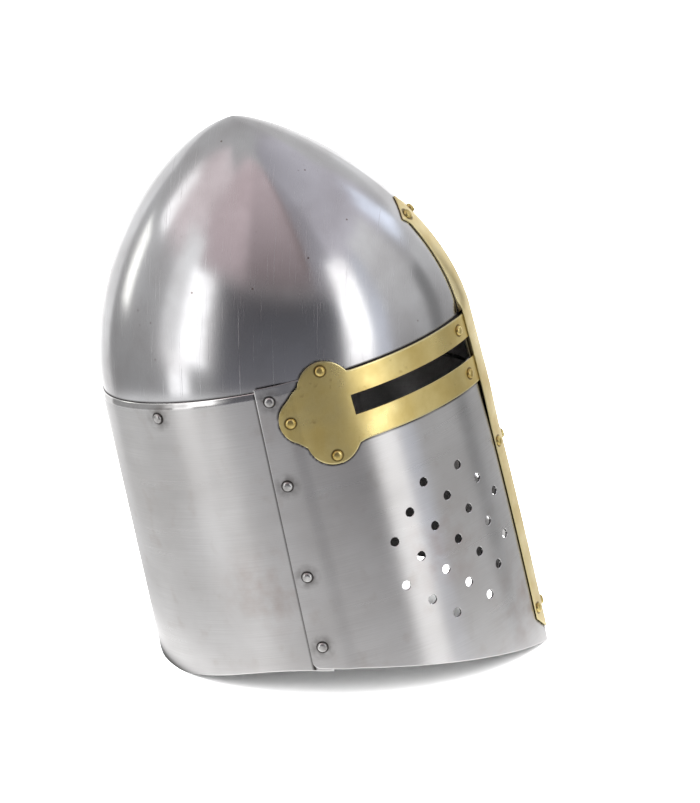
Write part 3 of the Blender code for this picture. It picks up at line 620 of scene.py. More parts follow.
def turned(profile, arc, u, sides):
    """Points and faces of a profile (radius, height) turned about the skin's outward line."""
    theta = theta_at(arc, u)
    here = skin(theta, u, 0.0)
    axis = skin(theta, u, 1.0) - here
    axis /= np.linalg.norm(axis)
    up = np.array([0.0, 0.0, 1.0]) - axis * axis[2]
    up /= np.linalg.norm(up)
    angles = 2.0 * math.pi * (np.arange(sides) + 0.5) / sides
    ring = np.cos(angles)[:, None] * up + np.sin(angles)[:, None] * np.cross(axis, up)
    radii, levels = np.array(profile[1:-1]).T
    body = here + levels[:, None, None] * axis + radii[:, None, None] * ring
    ends = [here + axis * profile[0][1], here + axis * profile[-1][1]]
    points = np.concatenate([[ends[0]], body.reshape(-1, 3), [ends[1]]])
    j = np.arange(sides)
    k = (j + 1) % sides
    rows = 1 + np.arange(len(radii) - 1)[:, None] * sides
    walls = np.stack([rows + j, rows + sides + j, rows + sides + k, rows + k], -1).reshape(-1, 4)
    last = len(points) - 1
    faces = [tuple(face) for face in walls.tolist()]
    faces += [(0, a, b) for a, b in zip((1 + j).tolist(), (1 + k).tolist())]
    tail = last - sides
    faces += [(a, last, b) for a, b in zip((tail + j).tolist(), (tail + k).tolist())]
    return points, faces


def breath_places():
    """Arc and height of the breaths in one cheek: a cornerwise square grid less its corners."""
    half = (BREATHS_A_SIDE - 1) / 2
    i, j = [part.ravel() - half for part in np.indices((BREATHS_A_SIDE, BREATHS_A_SIDE))]
    keep = ~((np.abs(i) == half) & (np.abs(j) == half))
    a, b = j[keep] * BREATH_PITCH, i[keep] * BREATH_PITCH
    arc = BREATH_CENTRE[0] - (a * math.cos(BREATH_TURN) - b * math.sin(BREATH_TURN))
    return arc, BREATH_CENTRE[1] - (a * math.sin(BREATH_TURN) + b * math.cos(BREATH_TURN))


def breath_cutter(side):
    """Round pegs that flare outwards above the plate, so each breath has a small chamfer."""
    points, faces = [], []
    for arc, u in zip(*breath_places()):
        top = float(face_outer(theta_at(arc, u)))
        crest, flare, end = top + CUTTER_ABOVE, top - CUT_DEPTH_OF_FLARE, -BREATH_CUTTER_WITHIN
        profile = [(0.0, crest), (BREATH_RADIUS + BREATH_FLARE, crest), (BREATH_RADIUS, flare)]
        profile += [(BREATH_RADIUS, end), (0.0, end)]
        peg, walls = turned(profile, side * arc, u, ROUND_SIDES)
        faces += [tuple(index + len(points) for index in face) for face in walls]
        points.extend(peg)
    return make_piece("cutter", stand(np.array(points)), faces)


def slot_cutter(side, start, end, foot, top, flare):
    """A bar along the face, its section a slot that flares outwards above the band."""
    arc = np.concatenate([[start], np.linspace(start, end, 60)[1:-1], [end]]) * side
    level = 0.5 * (foot + top) + 0.0 * arc
    outer = face_outer(theta_at(arc, level)) + GAP + BRASS
    under, lip, crest = 0.0 * arc - SLOT_CUTTER_WITHIN, outer - CUT_DEPTH_OF_FLARE, outer + CUTTER_ABOVE
    section = [(under, foot), (lip, foot), (crest, foot - flare)]
    section += [(crest, top + flare), (lip, top), (under, top)]
    loops = [skin(theta_at(arc, u + level * 0), u + level * 0, offset) for offset, u in section]
    points = np.stack(loops, 1).reshape(-1, 3)
    count, around = len(arc), len(section)
    faces = []
    for i in range(count - 1):
        for j in range(around):
            k = (j + 1) % around
            here, after = i * around, (i + 1) * around
            faces.append((here + j, here + k, after + k, after + j))
    first = [(5, 4, 1, 0), (4, 3, 2, 1)]
    last = (count - 1) * around
    faces += first + [tuple(last + index for index in face[::-1]) for face in first]
    return make_piece("cutter", stand(points), faces)


def cut(piece, cutters, sharp=40.0):
    """Take the cutters out of a piece and keep the result as its own mesh."""
    for cutter in cutters:
        modifier = piece.modifiers.new("cut", "BOOLEAN")
        modifier.operation = "DIFFERENCE"
        modifier.solver = "EXACT"
        modifier.object = cutter
    evaluated = piece.evaluated_get(bpy.context.evaluated_depsgraph_get())
    mesh = bpy.data.meshes.new_from_object(evaluated)
    piece.modifiers.clear()
    piece.data = mesh
    mesh.shade_smooth()
    mesh.set_sharp_from_angle(angle=math.radians(sharp))
    for cutter in cutters:
        bpy.data.objects.remove(cutter)


def rivet_rows():
    """Each rivet: name, arc, height, outer side of the sheet under its head, under its tail."""
    rows = []
    skull_under = -STEEL
    for number, drop in enumerate(SEAM_RIVET_DROPS, 1):
        arc = seam_arc(-drop) - SEAM_RIVET_INSET
        under = skull_under if drop < SKIRT_DEPTH else GAP
        rows.append(("seam_rivet_%d" % number, arc, -drop, "face", under))
    reach = END_LOBE_REACH + END_LOBE_RIVET_OUT
    rear = LOBE_CENTRE + SIDE_LOBE_REACH + SIDE_LOBE_RIVET_OUT
    top, low = LOBE_CENTRE - END_LOBE_LEAN, LOBE_CENTRE + END_LOBE_LEAN
    rows.append(("lobe_rivet_top", top, BAND_MIDDLE + reach, "band", skull_under))
    rows.append(("lobe_rivet_rear", rear, BAND_MIDDLE, "band", "face"))
    rows.append(("lobe_rivet_low", low, BAND_MIDDLE - reach, "band", "face"))
    upper, lower = 0.5 * (BAND_TOP + SLOT_TOP), 0.5 * (BAND_FOOT + SLOT_FOOT)
    rows.append(("band_rivet_upper", BAND_RIVET_ARC, upper, "band", skull_under))
    rows.append(("band_rivet_lower", BAND_RIVET_ARC, lower, "band", "face"))
    for number, height in enumerate(STRIP_RIVET_HEIGHTS, 1):
        under = skull_under if height > 0 else "face"
        rows.append(("strip_rivet_%d" % number, STRIP_RIVET_SPREAD, height, "strip", under))
    for number, angle in enumerate(RING_RIVET_DEG, 1):
        arc = arc_of(math.radians(angle), -RING_RIVET_DROP)
        rows.append(("ring_rivet_%d" % number, arc, -RING_RIVET_DROP, "back", skull_under))
    return rows


def make_rivet(name, arc, u, over, under):
    """A domed head, a shank through the sheets and a domed tail, as one turned profile.

    The dome's height is (1 - r**p) ** (1 / p) of its own, a half round flattened on top.
    """
    theta = abs(float(theta_at(arc, u)))
    seats = {
        "face": float(face_outer(theta)),
        "band": float(face_outer(theta)) + GAP + BRASS,
        "strip": float(strip_inner(u)) + BRASS,
        "back": BACK_OUTER,
    }
    seat = seats[over] - HEAD_SINK
    tail = float(face_inner(theta)) if under == "face" else under
    radius = np.sin(np.linspace(0.0, math.pi / 2, 9))
    dome = (1.0 - radius**DOME_POWER) ** (1.0 / DOME_POWER)
    profile = [(HEAD_RADIUS * r, seats[over] + HEAD_HEIGHT * h) for r, h in zip(radius, dome)]
    profile += [(HEAD_RADIUS, seat), (SHANK_RADIUS, seat), (SHANK_RADIUS, tail)]
    profile += [(TAIL_RADIUS * r, tail - TAIL_HEIGHT * h) for r, h in zip(radius[::-1], dome[::-1])]
    points, faces = turned(profile, arc, u, ROUND_SIDES)
    return make_piece(name, stand(points), faces, sharp=60.0)


def hexed(code):
    """sRGB hex to linear red, green and blue with alpha 1."""
    values = np.array([int(code[i : i + 2], 16) for i in (1, 3, 5)]) / 255.0
    linear = np.where(values <= 0.04045, values / 12.92, ((values + 0.055) / 1.055) ** 2.4)
    return (*linear.tolist(), 1.0)


def node(tree, kind, settings):
    """Add a node. A setting is a property, a socket's value or a socket to link from."""
    made = tree.nodes.new(kind)
    for key, value in settings.items():
        if isinstance(key, str) and hasattr(made, key):
            setattr(made, key, value)
        elif isinstance(value, bpy.types.NodeSocket):
            tree.links.new(value, made.inputs[key])
        else:
            made.inputs[key].default_value = value
    return made.outputs


# Kinds of node that the finishes use
PLACE, LAID, MOVED = "ShaderNodeTexCoord", "ShaderNodeUVMap", "ShaderNodeMapping"
NOISE, CELLS, PARTS = "ShaderNodeTexNoise", "ShaderNodeTexVoronoi", "ShaderNodeSeparateXYZ"
RANGE, MIX, SUM, VECTOR = "ShaderNodeMapRange", "ShaderNodeMix", "ShaderNodeMath", "ShaderNodeVectorMath"
BUMP, METAL, OUTPUT = "ShaderNodeBump", "ShaderNodeBsdfPrincipled", "ShaderNodeOutputMaterial"
SHINE, CLEAR, EITHER = "ShaderNodeEmission", "ShaderNodeBsdfTransparent", "ShaderNodeMixShader"
# A colour mix: its kind, its sockets for the share, for both colours and for the blend
COLOUR, SHARE, UNDER, OVER, BLEND = {"data_type": "RGBA"}, 0, 6, 7, 2
# Dark of dirt and painted gap shade along lapping edges
GRIME_AND_GAP_SHADE = "#2B2724"


def new_material(name):
    """A material and its node tree, emptied."""
    made = bpy.data.materials.new(name)
    made.use_nodes = True
    made.node_tree.nodes.clear()
    return made, made.node_tree


def away_from(tree, along, places):
    """Distance on a sheet to the nearest of some places (arc, u), alike on both sides: the
    sheet's left half is folded over its right half, with u counted down from FAR."""
    below = node(tree, VECTOR, {"operation": "SUBTRACT", 0: along, 1: (0.0, FAR * MM, 0.0)})[0]
    folded = node(tree, VECTOR, {"operation": "ABSOLUTE", 0: below})["Vector"]
    least = 1.0
    for arc, u in places:
        spot = (abs(arc) * MM, (FAR - u) * MM, 0.0)
        away = node(tree, VECTOR, {"operation": "DISTANCE", 0: folded, 1: spot})["Value"]
        least = node(tree, SUM, {"operation": "MINIMUM", 0: away, 1: least})[0]
    return least


def polished_steel():
    """Mild steel sheet, ground and polished nearly to a mirror: soft reflections, a cloudy haze, hairline
    scratches, a few rust specks, and dirt with painted gap shade where the plates lap it."""
    made, tree = new_material("polished_steel")
    place = node(tree, PLACE, {})["Object"]
    # Cloudy polish marks some 45 mm across
    haze = node(tree, NOISE, {"Vector": place, "Scale": 1 / (45 * MM), "Detail": 3.0})["Fac"]
    cloud = node(tree, RANGE, {"Value": haze, "From Min": 0.35, "From Max": 0.7})["Result"]
    pale, dull = hexed("#CDCDCF"), hexed("#B8B6B7")
    tone = node(tree, MIX, COLOUR | {SHARE: cloud, UNDER: pale, OVER: dull})[BLEND]
    # Grinding marks 1.5 mm wide and 20 mm long round the bowl, coarser than the real ones
    ringed = node(tree, MOVED, {"Vector": place, "Scale": (1.0, 1.0, 14.0)})["Vector"]
    grind = node(tree, NOISE, {"Vector": ringed, "Scale": 1 / (20 * MM), "Detail": 2.0})["Fac"]
    # Rust specks 1.5 mm across, in patches some 30 mm wide
    cells = node(tree, CELLS, {"Vector": place, "Scale": 1 / (9 * MM)})["Distance"]
    dots = {"Value": cells, "From Min": 0.06, "From Max": 0.1, "To Min": 0.8, "To Max": 0.0}
    patchy = node(tree, NOISE, {"Vector": place, "Scale": 1 / (30 * MM), "Detail": 1.0})["Fac"]
    patches = node(tree, RANGE, {"Value": patchy, "From Min": 0.58, "From Max": 0.64})[0]
    rust = node(tree, SUM, {"operation": "MULTIPLY", 0: node(tree, RANGE, dots)[0], 1: patches})[0]
    tone = node(tree, MIX, COLOUR | {SHARE: rust, UNDER: tone, OVER: hexed("#5E3F2C")})[BLEND]
    # Dirt and painted gap shade in the 1.7 mm next to a lapping edge
    gaps = node(tree, PARTS, {"Vector": node(tree, LAID, {"uv_map": "edge"})["UV"]})
    dirt_and_gap_shade = {"Value": gaps["Y"], "From Min": 0.5 * MM, "From Max": 1.7 * MM, "To Min": 0.95, "To Max": 0.0}
    dirt_and_gap_shade = node(tree, RANGE, dirt_and_gap_shade)[0]
    tone = node(tree, MIX, COLOUR | {SHARE: dirt_and_gap_shade, UNDER: tone, OVER: hexed(GRIME_AND_GAP_SHADE)})[BLEND]
    # Hairlines about 0.4 mm wide and 60 mm long, at two slants, coarser than the real ones
    lines = []
    for slant in ((0.5, 0.2, 0.9), (-0.7, 0.4, 0.2)):
        slanted = {"Vector": place, "Rotation": slant, "Scale": (1.0, 150.0, 1.0)}
        slanted = node(tree, MOVED, slanted)["Vector"]
        hair = node(tree, NOISE, {"Vector": slanted, "Scale": 1 / (60 * MM), "Detail": 1.0})["Fac"]
        lines.append(node(tree, RANGE, {"Value": hair, "From Min": 0.72, "From Max": 0.79})[0])
    scratch = node(tree, SUM, {"operation": "MAXIMUM", 0: lines[0], 1: lines[1]})[0]
    rough = {"Value": haze, "From Min": 0.3, "From Max": 0.75, "To Min": 0.15, "To Max": 0.24}
    rough = node(tree, RANGE, rough)[0]
    rough = node(tree, SUM, {"operation": "MULTIPLY_ADD", 0: scratch, 1: 0.3, 2: rough})[0]
    rough = node(tree, SUM, {"operation": "MULTIPLY_ADD", 0: dirt_and_gap_shade, 1: 0.4, 2: rough})[0]
    height = node(tree, SUM, {"operation": "MULTIPLY_ADD", 0: scratch, 1: 1.6, 2: grind})[0]
    bump = node(tree, BUMP, {"Strength": 0.12, "Distance": 0.06 * MM, "Height": height})["Normal"]
    metal = {"Base Color": tone, "Metallic": 1.0, "Roughness": rough, "Normal": bump}
    node(tree, OUTPUT, {"Surface": node(tree, METAL, metal)["BSDF"]})
    return made


def brushed_steel(name, rivets, stained):
    """Mild steel sheet brushed along its length to a satin: highlights drawn out across the brushing, faint
    brown stains, worn bright edges that are partly a painted highlight, dark finger marks round the rivets,
    and dirt with painted gap shade along lapping edges.

    rivets and stained are places (arc, u), alike on both sides of the helm.
    """
    made, tree = new_material(name)
    place = node(tree, PLACE, {})["Object"]
    along = node(tree, LAID, {"uv_map": "along"})["UV"]
    gaps = node(tree, PARTS, {"Vector": node(tree, LAID, {"uv_map": "edge"})["UV"]})
    # Brush lines 0.5 mm wide and 40 mm long, coarser than real grit leaves
    combed = node(tree, MOVED, {"Vector": along, "Scale": (1.0, 80.0, 1.0)})["Vector"]
    brush = node(tree, NOISE, {"Vector": combed, "Scale": 1 / (40 * MM), "Detail": 3.0})["Fac"]
    # Broad uneven passes of the brush, 13 mm high and 120 mm long
    swept = node(tree, MOVED, {"Vector": along, "Scale": (1.0, 9.0, 1.0)})["Vector"]
    passes = node(tree, NOISE, {"Vector": swept, "Scale": 1 / (120 * MM), "Detail": 2.0})["Fac"]
    cloud = node(tree, NOISE, {"Vector": place, "Scale": 1 / (60 * MM), "Detail": 4.0})["Fac"]
    cloud = node(tree, RANGE, {"Value": cloud, "From Min": 0.35, "From Max": 0.7})[0]
    tone = node(tree, MIX, COLOUR | {SHARE: cloud, UNDER: hexed("#CFCECE"), OVER: hexed("#BFBDBC")})[BLEND]
    lines = node(tree, RANGE, {"Value": brush, "From Min": 0.3, "From Max": 0.7, "To Max": 0.35})[0]
    tone = node(tree, MIX, COLOUR | {SHARE: lines, UNDER: tone, OVER: hexed("#AEACAB")})[BLEND]
    # Stains some 16 mm across, brownish and faint
    stain = node(tree, NOISE, {"Vector": place, "Scale": 1 / (16 * MM), "Detail": 6.0})["Fac"]
    stain = node(tree, RANGE, {"Value": stain, "From Min": 0.58, "From Max": 0.76, "To Max": 0.16})[0]
    tone = node(tree, MIX, COLOUR | {SHARE: stain, UNDER: tone, OVER: hexed("#8C7460")})[BLEND]
    from_rivet, from_stain = away_from(tree, along, rivets), away_from(tree, along, stained)
    # Finger marks within 11 mm of the rivets, broken up by grain 6 mm wide
    grain = node(tree, NOISE, {"Vector": place, "Scale": 1 / (6 * MM), "Detail": 4.0})["Fac"]
    grain = {"Value": grain, "From Min": 0.35, "From Max": 0.6, "To Min": 0.1, "To Max": 0.6}
    grain = node(tree, RANGE, grain)[0]
    smudge = {"Value": from_rivet, "From Min": 4.5 * MM, "From Max": 11 * MM, "To Min": 1.0, "To Max": 0.0}
    smudge = node(tree, SUM, {"operation": "MULTIPLY", 0: node(tree, RANGE, smudge)[0], 1: grain})[0]
    tone = node(tree, MIX, COLOUR | {SHARE: smudge, UNDER: tone, OVER: hexed("#5A5450")})[BLEND]
    # Rusty film in soft patches 14 mm across, within 45 mm of the stained places
    film = node(tree, NOISE, {"Vector": place, "Scale": 1 / (14 * MM), "Detail": 4.0})["Fac"]
    film = node(tree, RANGE, {"Value": film, "From Min": 0.42, "From Max": 0.72, "To Max": 0.26})[0]
    spread = {"Value": from_stain, "From Min": 12 * MM, "From Max": 45 * MM, "To Min": 1.0, "To Max": 0.0}
    film = node(tree, SUM, {"operation": "MULTIPLY", 0: film, 1: node(tree, RANGE, spread)[0]})[0]
    tone = node(tree, MIX, COLOUR | {SHARE: film, UNDER: tone, OVER: hexed("#8A6048")})[BLEND]
    # Dirt and painted gap shade next to a lapping edge, dirt round each rivet, and a bright worn line on
    # the sheet's own edge that is partly a painted highlight
    laps = {"Value": gaps["Y"], "From Min": 0.8 * MM, "From Max": 2.2 * MM, "To Min": 0.95, "To Max": 0.0}
    rings = {"Value": from_rivet, "From Min": 4.2 * MM, "From Max": 5.0 * MM, "To Min": 0.9, "To Max": 0.0}
    dirt_and_gap_shade = {"operation": "MAXIMUM", 0: node(tree, RANGE, laps)[0], 1: node(tree, RANGE, rings)[0]}
    dirt_and_gap_shade = node(tree, SUM, dirt_and_gap_shade)[0]
    tone = node(tree, MIX, COLOUR | {SHARE: dirt_and_gap_shade, UNDER: tone, OVER: hexed(GRIME_AND_GAP_SHADE)})[BLEND]
    worn_and_highlit_edge = {"Value": gaps["X"], "From Min": 0.5 * MM, "From Max": 1.1 * MM, "To Min": 1.0, "To Max": 0.0}
    worn_and_highlit_edge = node(tree, RANGE, worn_and_highlit_edge)[0]
    tone = node(tree, MIX, COLOUR | {SHARE: worn_and_highlit_edge, UNDER: tone, OVER: hexed("#E4E3E2")})[BLEND]
    # The lip, the top 4.5 mm of the back plate, is burnished smooth
    lip = {"Value": node(tree, PARTS, {"Vector": along})["Y"], "From Min": -5.4 * MM, "From Max": -4.2 * MM}
    lip = node(tree, RANGE, {**lip, "To Min": 1.0, "To Max": 0.45})[0]
    rough = {"Value": passes, "From Min": 0.3, "From Max": 0.7, "To Min": 0.26, "To Max": 0.32}
    rough = node(tree, RANGE, rough)[0]
    rough = node(tree, SUM, {"operation": "MULTIPLY_ADD", 0: lines, 1: 0.08, 2: rough})[0]
    rough = node(tree, SUM, {"operation": "MULTIPLY", 0: rough, 1: lip})[0]
    bump = node(tree, BUMP, {"Strength": 0.15, "Distance": 0.08 * MM, "Height": brush})["Normal"]
    tangent = node(tree, "ShaderNodeTangent", {"direction_type": "UV_MAP", "uv_map": "along"})["Tangent"]
    metal = {"Base Color": tone, "Metallic": 1.0, "Roughness": rough, "Normal": bump, "Tangent": tangent}
    metal |= {"Anisotropic": 0.92, "Anisotropic Rotation": 0.25}
    node(tree, OUTPUT, {"Surface": node(tree, METAL, metal)["BSDF"]})
    return made


def scaled_steel_painted_shade():
    """The sheet's inner side, left with its dark mill scale and darkened further as painted shade for the
    unlit inside of the helm: dull, blue-black and mottled.
    """
    made, tree = new_material("scaled_steel_painted_shade")
    place = node(tree, PLACE, {})["Object"]
    # Mottling 12 mm across
    mottle = node(tree, NOISE, {"Vector": place, "Scale": 1 / (12 * MM), "Detail": 4.0})["Fac"]
    mottle = node(tree, RANGE, {"Value": mottle, "From Min": 0.35, "From Max": 0.65})[0]
    # Tones this dark stand in partly for the shade inside the helm
    tone = node(tree, MIX, COLOUR | {SHARE: mottle, UNDER: hexed("#202022"), OVER: hexed("#302D2B")})[BLEND]
    metal = {"Base Color": tone, "Metallic": 1.0, "Roughness": 0.6}
    node(tree, OUTPUT, {"Surface": node(tree, METAL, metal)["BSDF"]})
    return made


def polished_brass(name, light, dark, tarnish, rivets):
    """Sheet brass polished by hand: a warm satin gloss with cloudy tarnish, small dings, dirt round the
    rivets and a bright worn edge that is partly a painted highlight."""
    made, tree = new_material(name)
    place = node(tree, PLACE, {})["Object"]
    along = node(tree, LAID, {"uv_map": "along"})["UV"]
    gaps = node(tree, PARTS, {"Vector": node(tree, LAID, {"uv_map": "edge"})["UV"]})
    # Tarnish clouds 22 mm across and spots 7 mm across
    cloud = node(tree, NOISE, {"Vector": place, "Scale": 1 / (22 * MM), "Detail": 4.0})["Fac"]
    share = node(tree, RANGE, {"Value": cloud, "From Min": 0.35, "From Max": 0.68})[0]
    tone = node(tree, MIX, COLOUR | {SHARE: share, UNDER: hexed(light), OVER: hexed(dark)})[BLEND]
    spots = node(tree, NOISE, {"Vector": place, "Scale": 1 / (7 * MM), "Detail": 3.0})["Fac"]
    spots = node(tree, RANGE, {"Value": spots, "From Min": 0.64, "From Max": 0.8, "To Max": 0.5})[0]
    tone = node(tree, MIX, COLOUR | {SHARE: spots, UNDER: tone, OVER: hexed(tarnish)})[BLEND]
    # A dark ring round each rivet, and a bright worn line on the sheet's own edge that is partly a painted
    # highlight
    least = away_from(tree, along, rivets)
    ring = {"Value": least, "From Min": 4.2 * MM, "From Max": 5.2 * MM, "To Min": 0.85, "To Max": 0.0}
    ring = node(tree, RANGE, ring)[0]
    tone = node(tree, MIX, COLOUR | {SHARE: ring, UNDER: tone, OVER: hexed("#5B4522")})[BLEND]
    worn_and_highlit_edge = {"Value": gaps["X"], "From Min": 0.6 * MM, "From Max": 1.4 * MM, "To Min": 0.8, "To Max": 0.0}
    worn_and_highlit_edge = node(tree, RANGE, worn_and_highlit_edge)[0]
    tone = node(tree, MIX, COLOUR | {SHARE: worn_and_highlit_edge, UNDER: tone, OVER: hexed("#EBDDA8")})[BLEND]
    rough = {"Value": cloud, "From Min": 0.3, "From Max": 0.7, "To Min": 0.26, "To Max": 0.36}
    rough = node(tree, RANGE, rough)[0]
    # Dings 2 mm across and a beaten unevenness 20 mm across
    dings = node(tree, CELLS, {"Vector": place, "Scale": 1 / (8 * MM)})["Distance"]
    dings = node(tree, RANGE, {"Value": dings, "From Max": 0.14, "To Max": 0.06})[0]
    beaten = node(tree, NOISE, {"Vector": place, "Scale": 1 / (20 * MM), "Detail": 2.0})["Fac"]
    height = node(tree, SUM, {"operation": "ADD", 0: dings, 1: beaten})[0]
    bump = node(tree, BUMP, {"Strength": 0.3, "Distance": 0.6 * MM, "Height": height})["Normal"]
    metal = {"Base Color": tone, "Metallic": 1.0, "Roughness": rough, "Normal": bump}
    node(tree, OUTPUT, {"Surface": node(tree, METAL, metal)["BSDF"]})
    return made


def rivet_metal(name, light, dark):
    """Drawn wire, headed under a cup punch and rubbed bright: a round gleam, dulled by cloudy
    smut some 5 mm across."""
    made, tree = new_material(name)
    place = node(tree, PLACE, {})["Object"]
    cloud = node(tree, NOISE, {"Vector": place, "Scale": 1 / (5 * MM), "Detail": 3.0})["Fac"]
    share = node(tree, RANGE, {"Value": cloud, "From Min": 0.35, "From Max": 0.7})[0]
    tone = node(tree, MIX, COLOUR | {SHARE: share, UNDER: hexed(light), OVER: hexed(dark)})[BLEND]
    rough = {"Value": cloud, "From Min": 0.3, "From Max": 0.7, "To Min": 0.24, "To Max": 0.36}
    metal = {"Base Color": tone, "Metallic": 1.0, "Roughness": node(tree, RANGE, rough)[0]}
    node(tree, OUTPUT, {"Surface": node(tree, METAL, metal)["BSDF"]})
    return made


def matt_paper():
    """The floor: matt white paper with a grain too faint to see."""
    made, tree = new_material("matt_paper")
    place = node(tree, PLACE, {})["Object"]
    grain = node(tree, NOISE, {"Vector": place, "Scale": 1 / (400 * MM), "Detail": 2.0})["Fac"]
    share = node(tree, RANGE, {"Value": grain, "From Min": 0.3, "From Max": 0.7, "To Max": 0.02})[0]
    tone = node(tree, MIX, COLOUR | {SHARE: share, UNDER: hexed("#F6F6F6"), OVER: hexed("#E8E8E8")})[BLEND]
    paper = node(tree, METAL, {"Base Color": tone, "Roughness": 0.8})["BSDF"]
    node(tree, OUTPUT, {"Surface": paper})
    return made


def glow(name, colour, low, high, soft, spans):
    """A bright card, low at its foot and high at its top, that fades out at its edges."""
    made, tree = new_material(name)
    shares = node(tree, PARTS, {"Vector": node(tree, LAID, {"uv_map": "span"})["UV"]})
    nearest = 180.0
    for axis, span in zip("XY", spans):
        back = node(tree, SUM, {"operation": "SUBTRACT", 0: 1.0, 1: shares[axis]})[0]
        least = node(tree, SUM, {"operation": "MINIMUM", 0: shares[axis], 1: back})[0]
        degrees = node(tree, SUM, {"operation": "MULTIPLY", 0: least, 1: float(span)})[0]
        nearest = node(tree, SUM, {"operation": "MINIMUM", 0: degrees, 1: nearest})[0]
    fade = node(tree, RANGE, {"interpolation_type": "SMOOTHSTEP", "Value": nearest, "From Max": soft})[0]
    strength = node(tree, RANGE, {"Value": shares["Y"], "To Min": low, "To Max": high})[0]
    lamp = node(tree, SHINE, {"Color": hexed(colour), "Strength": strength})["Emission"]
    clear = node(tree, CLEAR, {})["BSDF"]
    node(tree, OUTPUT, {"Surface": node(tree, EITHER, {0: fade, 1: clear, 2: lamp})[0]})
    return made


# Where the camera stands: its target, direction and distance in metres
TARGET = np.array([0.0, -0.0219, 0.1904])
CAMERA_AZIMUTH = math.radians(188.0)
CAMERA_RISE = math.radians(17.796)
CAMERA_ROLL = math.radians(2.409)
CAMERA_DISTANCE = 3.0386
LENS = 207.84

# The studio, in metres: a white sky, a square lamp overhead and a pale floor
SKY = 4.0
LAMP_SIDE = 3.0
LAMP_POWER = 120.0
LAMP_PLACE = (0.3, 0.3, 2.6)
FLOOR_HALF_SIDE = 14.0
# The round patch of lit floor that the metal reflects, and the oval of the helm's foot on it
PATCH_RADIUS = 0.72
PATCH_FADES_FROM = 0.5
PATCH_CENTRE = (-0.16, 0.1, 0.0)
PATCH_SIDES = 96
FLOOR_GLOW = 0.92
FOOT_HALF_WIDTH = 0.121
FOOT_HALF_LENGTH = 0.152
FOOT_BEHIND = 0.013
# A card has a column and a row for each 4 degrees
CARD_STEP = 4.0

# Studio cards that only the metal reflects. Each is a piece of a sphere about the helm:
# name, azimuth from and to (0 towards the camera, positive towards the helm's front),
# elevation from and to, radius in metres, colour, brightness at its foot and at its top,
# width of its soft edge in degrees. Nearer cards hide those behind them.
CARDS = (
    ("room", -180, 180, -90, 90, 9.0, "#FFFFFF", 0.6, 0.6, 0.001),
    ("ground", -180, 180, -90, -6, 8.9, "#FFFFFF", 0.5, 0.42, 4),
    ("ceiling_middle", -34, 30, 27, 90, 8.7, "#FFEBEE", 0.24, 0.85, 8),
    ("ceiling_side", -72, -24, 27, 90, 8.6, "#FFEBEE", 0.58, 1.0, 8),
    ("ceiling_rear", -112, -62, 24, 72, 8.5, "#FFF2F4", 1.05, 1.1, 10),
    ("ceiling_front", 40, 158, 32, 90, 8.4, "#F9F6FF", 0.92, 0.46, 6),
    ("ceiling_front_dim", 22, 46, 14, 84, 8.3, "#F9F6FF", 0.42, 0.48, 3),
    ("ceiling_edge", 19, 24, 38, 84, 8.2, "#C89A86", 0.3, 0.4, 1.5),
    ("wall_camera", -46, 38, -24, 33, 8.1, "#F4F4FF", 0.27, 0.1, 7),
    ("wall_front", 64, 103, -30, 46, 8.0, "#FFFFFF", 0.3, 0.98, 3),
    ("wall_front_far", 108, 130, -14, 26, 7.9, "#FFFFFF", 0.42, 0.76, 3),
    ("wall_front_dark", 98, 112, -14, 21, 7.8, "#FFFFFF", 0.26, 0.25, 3),
    ("wall_rear", -104, -74, -40, 24, 8.0, "#FFFFFF", 0.3, 0.62, 4),
    ("wall_rear_low", -128, -98, -40, 4, 7.9, "#FFFFFF", 0.3, 0.5, 4),
    ("wall_rear_dark", -132, -119, -12, 10, 7.6, "#FFFFFF", 0.36, 0.5, 4),
    ("backdrop", 126, 229, -30, 28, 7.7, "#FFFFFF", 1.15, 1.0, 3),
    ("backdrop_high", 132, 214, 22, 52, 8.0, "#FFFFFF", 0.72, 0.7, 6),
    ("backdrop_core", 150, 210, -34, 14, 7.6, "#FFFFFF", 1.55, 1.3, 6),
    ("softbox_front_side", 53, 69, -16, 42, 6.2, "#EEF3FF", 1.05, 0.82, 4),
    ("softbox_front", 36, 56, -10, 42, 6.0, "#FFFFFF", 2.1, 2.7, 3),
    ("softbox_rear_side", -80, -58, -6, 42, 6.2, "#FFFFFF", 1.15, 1.1, 5),
    ("softbox_rear", -65, -46, -5, 31, 6.0, "#FFFFFF", 2.3, 2.0, 3),
    ("softbox_rear_low", -72, -57, -40, 1, 6.1, "#FFFFFF", 1.9, 1.8, 2),
    ("window_rear_high", -109, -95, 25, 50, 6.0, "#FFFFFF", 2.3, 2.0, 3),
    ("window_rear_gap", -111, -98, 4, 28, 6.3, "#FFFFFF", 0.55, 0.7, 2),
    ("window_rear_low", -121, -108, 0, 21, 6.0, "#FFFFFA", 2.4, 2.2, 3),
    ("window_front", 108, 128, 25, 46, 6.0, "#E8F0FF", 1.9, 1.6, 4),
)


